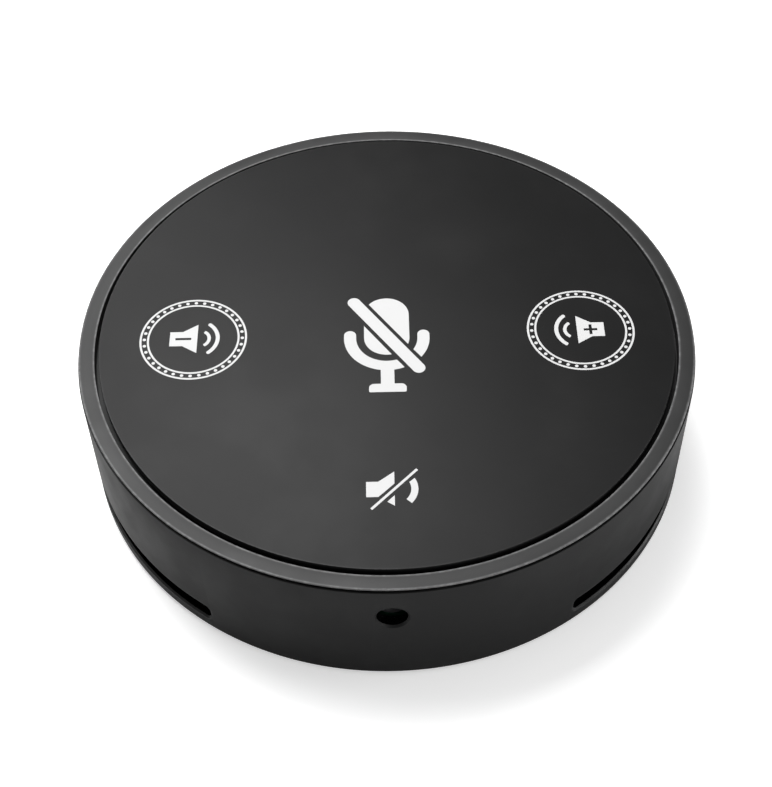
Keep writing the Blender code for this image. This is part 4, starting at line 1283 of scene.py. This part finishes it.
class SPK_OT_cable_socket(bpy.types.Operator):
    """Makes the cable socket at the back: shell, tongue and contacts"""

    bl_idname = "spk.cable_socket"
    bl_label = "Cable socket"

    def execute(self, context):
        height = context.scene.spk_casing.port_height / MM
        shell = block("cable_socket_shell", (-4.47, 50.3, height - 1.6), (4.47, 57.6, height + 1.6))
        bevelled(shell, 1.45, 8, runs_along(1))
        cavity = block("cavity", (-4.17, 51.4, height - 1.3), (4.17, 59.0, height + 1.3))
        bevelled(cavity, 1.18, 8, runs_along(1))
        change(shell, cavity)
        smooth(shell)
        finished(shell, "base", material("steel"), ["cable_socket"])
        tongue = block("cable_socket_tongue", (-3.35, 51.2, height - 0.35), (3.35, 56.6, height + 0.35))
        bevelled(tongue, 0.12, 2, sharp)
        smooth(tongue)
        finished(tongue, "base", material("socket_plastic"))
        pads = []
        for side in (-1.0, 1.0):
            low, high = sorted((height + side * 0.33, height + side * 0.33 + side * 0.06))
            for number in range(CONTACTS_PER_SIDE):
                x = (number - (CONTACTS_PER_SIDE - 1) / 2.0) * CONTACT_PITCH
                pads.append(block("pad", (x - 0.13, 52.4, low), (x + 0.13, 56.2, high)))
        contacts = joined("cable_socket_contacts", pads)
        finished(contacts, "base", material("copper"))
        return {"FINISHED"}


def cross_recess_screw(name, head_r, head_height, shank):
    """A pan-head screw standing on its tip at the origin's axis, head up, its bearing face at height 0."""
    corners = [(0.0, head_height, 0.0), (head_r, head_height, 0.3), (head_r, 0.0, 0.05)]
    corners.append((THREAD_RADIUS, 0.0, 0.0))
    level = -THREAD_PITCH
    while level > -shank + 1.0:
        corners += [(CORE_RADIUS, level, 0.0), (THREAD_RADIUS, level - 0.22, 0.0)]
        level -= THREAD_PITCH
    corners += [(0.75, -shank + 0.5, 0.0), (0.0, -shank, 0.0)]
    screw = turned(name, corners, SMALL_STEPS)
    for turn in (0.0, math.pi / 2.0):
        half, low = head_r * 0.55, head_height - RECESS_DEPTH
        slot = block("slot", (-half, -RECESS_HALF_WIDTH, low), (half, RECESS_HALF_WIDTH, head_height + 0.5))
        edit(slot)
        pick(slot, "FACE", lambda face: face.normal.z < -0.9)
        bpy.ops.transform.resize(value=(0.45, 0.8, 1.0), center_override=(0.0, 0.0, 0.0))
        change(screw, moved(done(slot), (0.0, 0.0, 0.0), turn))
    return screw


class SPK_OT_screws(bpy.types.Operator):
    """Makes the cross-recess screws of the cover, the mid frame and the loudspeaker"""

    bl_idname = "spk.screws"
    bl_label = "Screws"

    def execute(self, context):
        # name, azimuths and radius, seat's height, head's radius and height, shank, and whether it hangs
        # head down; a seat of None is taken from the CAD screw, and so is that shank
        sets = (
            ("cover_screw", COVER_SCREW_AZIMUTHS, COVER_SCREW_RADIUS, 1.6, 2.1, 0.6, 7.3, True),
            ("frame_screw", FRAME_SCREW_AZIMUTHS, FRAME_SCREW_RADIUS, None, 2.0, 0.9, None, False),
            ("speaker_screw", SPEAKER_SCREW_AZIMUTHS, SPEAKER_SCREW_RADIUS, 12.0, 1.5, 0.8, 3.4, False),
        )
        for name, azimuths, radius, seat, head_r, head_height, shank, upside_down in sets:
            if seat is None:
                low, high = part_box(name + "_1")
                seat = high[2] / MM - head_height
                shank = seat - low[2] / MM
            pattern = cross_recess_screw(name + "_pattern", head_r, head_height, shank)
            for number, azimuth in enumerate(azimuths, 1):
                x, y = place(azimuth, radius)
                screw = copied(pattern, f"{name}_{number}_cross")
                if upside_down:
                    moved(screw, (0.0, 0.0, 0.0), math.pi, "X")
                moved(screw, (x, y, seat), math.radians(17.0 * number))
                smooth(screw)
                finished(screw, "base", material("screw_steel"), [f"{name}_{number}"])
            bpy.data.objects.remove(pattern)
        return {"FINISHED"}


# ---------------------------------------------------------------- inner parts

INNER_SLOTS = {
    "inner_plastic": ("panel_carrier", "press_frame", "mid_frame", "baffle_plate"),
    "steel": ("frame_pin", "rocker_pin", "mic_capsule", "speaker_yoke", "pole_plate"),
    "dome_steel": ("dome_",),
    "circuit_board": ("key_board", "main_board"),
    "chip_resin": ("audio_chip", "amplifier_chip"),
    "connector_plastic": ("board_connector", "speaker_wire_plug"),
    "capacitor_can": ("supply_capacitor",),
    "rubber": ("mic_boot", "speaker_gasket", "cone_surround"),
    "pressed_steel": ("speaker_basket",),
    "magnet": ("speaker_magnet",),
    "copper": ("voice_coil",),
    "cone_paper": ("speaker_cone", "dust_cap"),
    "spider_cloth": ("speaker_spider",),
    "red_lead": ("speaker_wire_red",),
    "black_lead": ("speaker_wire_black",),
}


class SPK_OT_inner_parts(bpy.types.Operator):
    """Gives the inner parts their finishes"""

    bl_idname = "spk.inner_parts"
    bl_label = "Inner parts"

    def execute(self, context):
        for name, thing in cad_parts.items():
            for slot, starts in INNER_SLOTS.items():
                if name.startswith(starts):
                    thing.data.materials.clear()
                    thing.data.materials.append(material(slot))
        return {"FINISHED"}


# ---------------------------------------------------------------- stage


# name, azimuth from the front, height above the floor in degrees, side in metres, power in watts
SOFTBOXES = (
    ("softbox_back_left_high", -150.0, 62.0, 0.45, 8.1),
    ("softbox_overhead", 0.0, 88.0, 0.5, 1.2),
    ("softbox_back_left_low", -150.0, 8.0, 0.3, 2.7),
    ("softbox_right_low", 90.0, 8.0, 0.3, 2.65),
    ("softbox_front_right_low", 30.0, 8.0, 0.3, 1.5),
    ("softbox_side_low", 60.0, 8.0, 0.3, 0.7),
)
FLOOR_FADE = (0.25, 0.8)
FLOOR_LIFT = (0.5, 1.0)
ROOM_LIGHT = 0.1
ROOM_SEEN = 1.0
LIGHT_DISTANCE = 0.8
LIGHT_AIM = Vector((0.0, 0.0, 0.015))
FLOOR_SIDE = 6.0
SENSOR_WIDTH = 36.0
LENS = 70.9
CAMERA_SPOT = (-0.00028, -0.20466, 0.25180)
CAMERA_ELEVATION = math.radians(49.83)
CAMERA_ROLL = math.radians(-1.22)


def soft_light(name, azimuth, height, side, power):
    """A square soft light that looks at the middle of the object and isn't seen itself."""
    x, y = place(azimuth, math.cos(math.radians(height)))
    out = Vector((x, y, math.sin(math.radians(height))))
    clear_selection()
    turn = out.to_track_quat("Z", "Y").to_euler()
    bpy.ops.object.light_add(type="AREA", location=LIGHT_AIM + out * LIGHT_DISTANCE, rotation=turn)
    lamp = bpy.context.active_object
    lamp.name = name
    lamp.data.shape = "SQUARE"
    lamp.data.size = side
    lamp.data.energy = power
    lamp.visible_camera = False
    return lamp


def pale_room():
    """Surroundings that look pale behind the floor and light the object only a little."""
    world = bpy.data.worlds.new("pale room")
    world.use_nodes = True
    tree = world.node_tree
    background = tree.nodes["Background"]
    background.inputs["Color"].default_value = (1.0, 1.0, 1.0, 1.0)
    seen = node(tree, "ShaderNodeLightPath").outputs["Is Camera Ray"]
    inputs = {"Value": seen, "To Min": ROOM_LIGHT, "To Max": ROOM_SEEN}
    strength = node(tree, "ShaderNodeMapRange", inputs).outputs["Result"]
    tree.links.new(strength, background.inputs["Strength"])
    return world


def lift_floor(tree):
    """Makes the floor look paler, and white far off, without lighting anything."""
    shader = tree.nodes["Principled BSDF"].inputs
    shader["Emission Color"].default_value = (1.0, 1.0, 1.0, 1.0)
    spot = node(tree, "ShaderNodeTexCoord").outputs["Object"]
    away = node(tree, "ShaderNodeVectorMath", {0: spot}, operation="LENGTH").outputs["Value"]
    seen = node(tree, "ShaderNodeLightPath").outputs["Is Camera Ray"]
    lift = maths(tree, "MULTIPLY", seen, stretch(tree, away, *FLOOR_FADE, *FLOOR_LIFT))
    tree.links.new(lift, shader["Emission Strength"])


def placed_camera():
    """A camera in front of the user's side that looks down at the object, with a slight roll."""
    camera_data = bpy.data.cameras.new("camera")
    camera_data.sensor_fit = "AUTO"
    camera_data.sensor_width = SENSOR_WIDTH
    camera_data.lens = LENS
    camera = bpy.data.objects.new("camera", camera_data)
    bpy.context.scene.collection.objects.link(camera)
    back = Vector((0.0, -math.cos(CAMERA_ELEVATION), math.sin(CAMERA_ELEVATION)))
    right = Vector((1.0, 0.0, 0.0))
    up = Vector((0.0, math.sin(CAMERA_ELEVATION), math.cos(CAMERA_ELEVATION)))
    tilted_right = right * math.cos(CAMERA_ROLL) + up * math.sin(CAMERA_ROLL)
    tilted_up = up * math.cos(CAMERA_ROLL) - right * math.sin(CAMERA_ROLL)
    turn = Matrix((tilted_right, tilted_up, back)).transposed().to_4x4()
    camera.matrix_world = Matrix.Translation(CAMERA_SPOT) @ turn
    return camera


class SPK_OT_stage(bpy.types.Operator):
    """Sets the floor, the soft lights, the surroundings and the camera"""

    bl_idname = "spk.stage"
    bl_label = "Stage"

    def execute(self, context):
        clear_selection()
        bpy.ops.mesh.primitive_plane_add(size=FLOOR_SIDE, location=(0.0, 0.0, 0.0))
        floor = added("floor")
        colour = context.scene.spk_colours.floor
        paper = finish("floor paper", colour, 0.9, specular=0.1, grain=700.0, variation=0.01, dust=0.0)
        lift_floor(paper.node_tree)
        floor.data.materials.append(paper)
        context.scene.world = pale_room()
        for softbox in SOFTBOXES:
            soft_light(*softbox)
        context.scene.camera = placed_camera()
        context.scene.view_settings.view_transform = "Standard"
        return {"FINISHED"}


# ---------------------------------------------------------------- add-on

OPERATORS = (
    SPK_OT_stage,
    SPK_OT_housing,
    SPK_OT_bezel,
    SPK_OT_bottom,
    SPK_OT_dust_cloths,
    SPK_OT_key_panel,
    SPK_OT_marks,
    SPK_OT_headset_socket,
    SPK_OT_cable_socket,
    SPK_OT_screws,
    SPK_OT_inner_parts,
)


class SPK_PT_panel(bpy.types.Panel):
    """Lists the steps and sizes of the speakerphone"""

    bl_idname = "SPK_PT_panel"
    bl_label = "Speakerphone"
    bl_space_type = "VIEW_3D"
    bl_region_type = "UI"
    bl_category = "Speakerphone"

    def draw(self, context):
        for step in OPERATORS:
            self.layout.operator(step.bl_idname)
        for settings in (context.scene.spk_casing, context.scene.spk_top, context.scene.spk_colours):
            box = self.layout.box()
            for name in settings.__annotations__:
                box.prop(settings, name)


CLASSES = (SPK_CasingSizes, SPK_TopSizes, SPK_Colours, *OPERATORS, SPK_PT_panel)


def register():
    for each in CLASSES:
        bpy.utils.register_class(each)
    bpy.types.Scene.spk_casing = bpy.props.PointerProperty(type=SPK_CasingSizes)
    bpy.types.Scene.spk_top = bpy.props.PointerProperty(type=SPK_TopSizes)
    bpy.types.Scene.spk_colours = bpy.props.PointerProperty(type=SPK_Colours)


def unregister():
    del bpy.types.Scene.spk_colours
    del bpy.types.Scene.spk_top
    del bpy.types.Scene.spk_casing
    for each in reversed(CLASSES):
        bpy.utils.unregister_class(each)


def main():
    register()
    bpy.ops.spk.stage()
    bpy.ops.spk.housing()
    bpy.ops.spk.bezel()
    bpy.ops.spk.bottom()
    bpy.ops.spk.dust_cloths()
    bpy.ops.spk.key_panel()
    bpy.ops.spk.marks()
    bpy.ops.spk.headset_socket()
    bpy.ops.spk.cable_socket()
    bpy.ops.spk.screws()
    bpy.ops.spk.inner_parts()
    clear_selection()


if __name__ == "__main__":
    main()
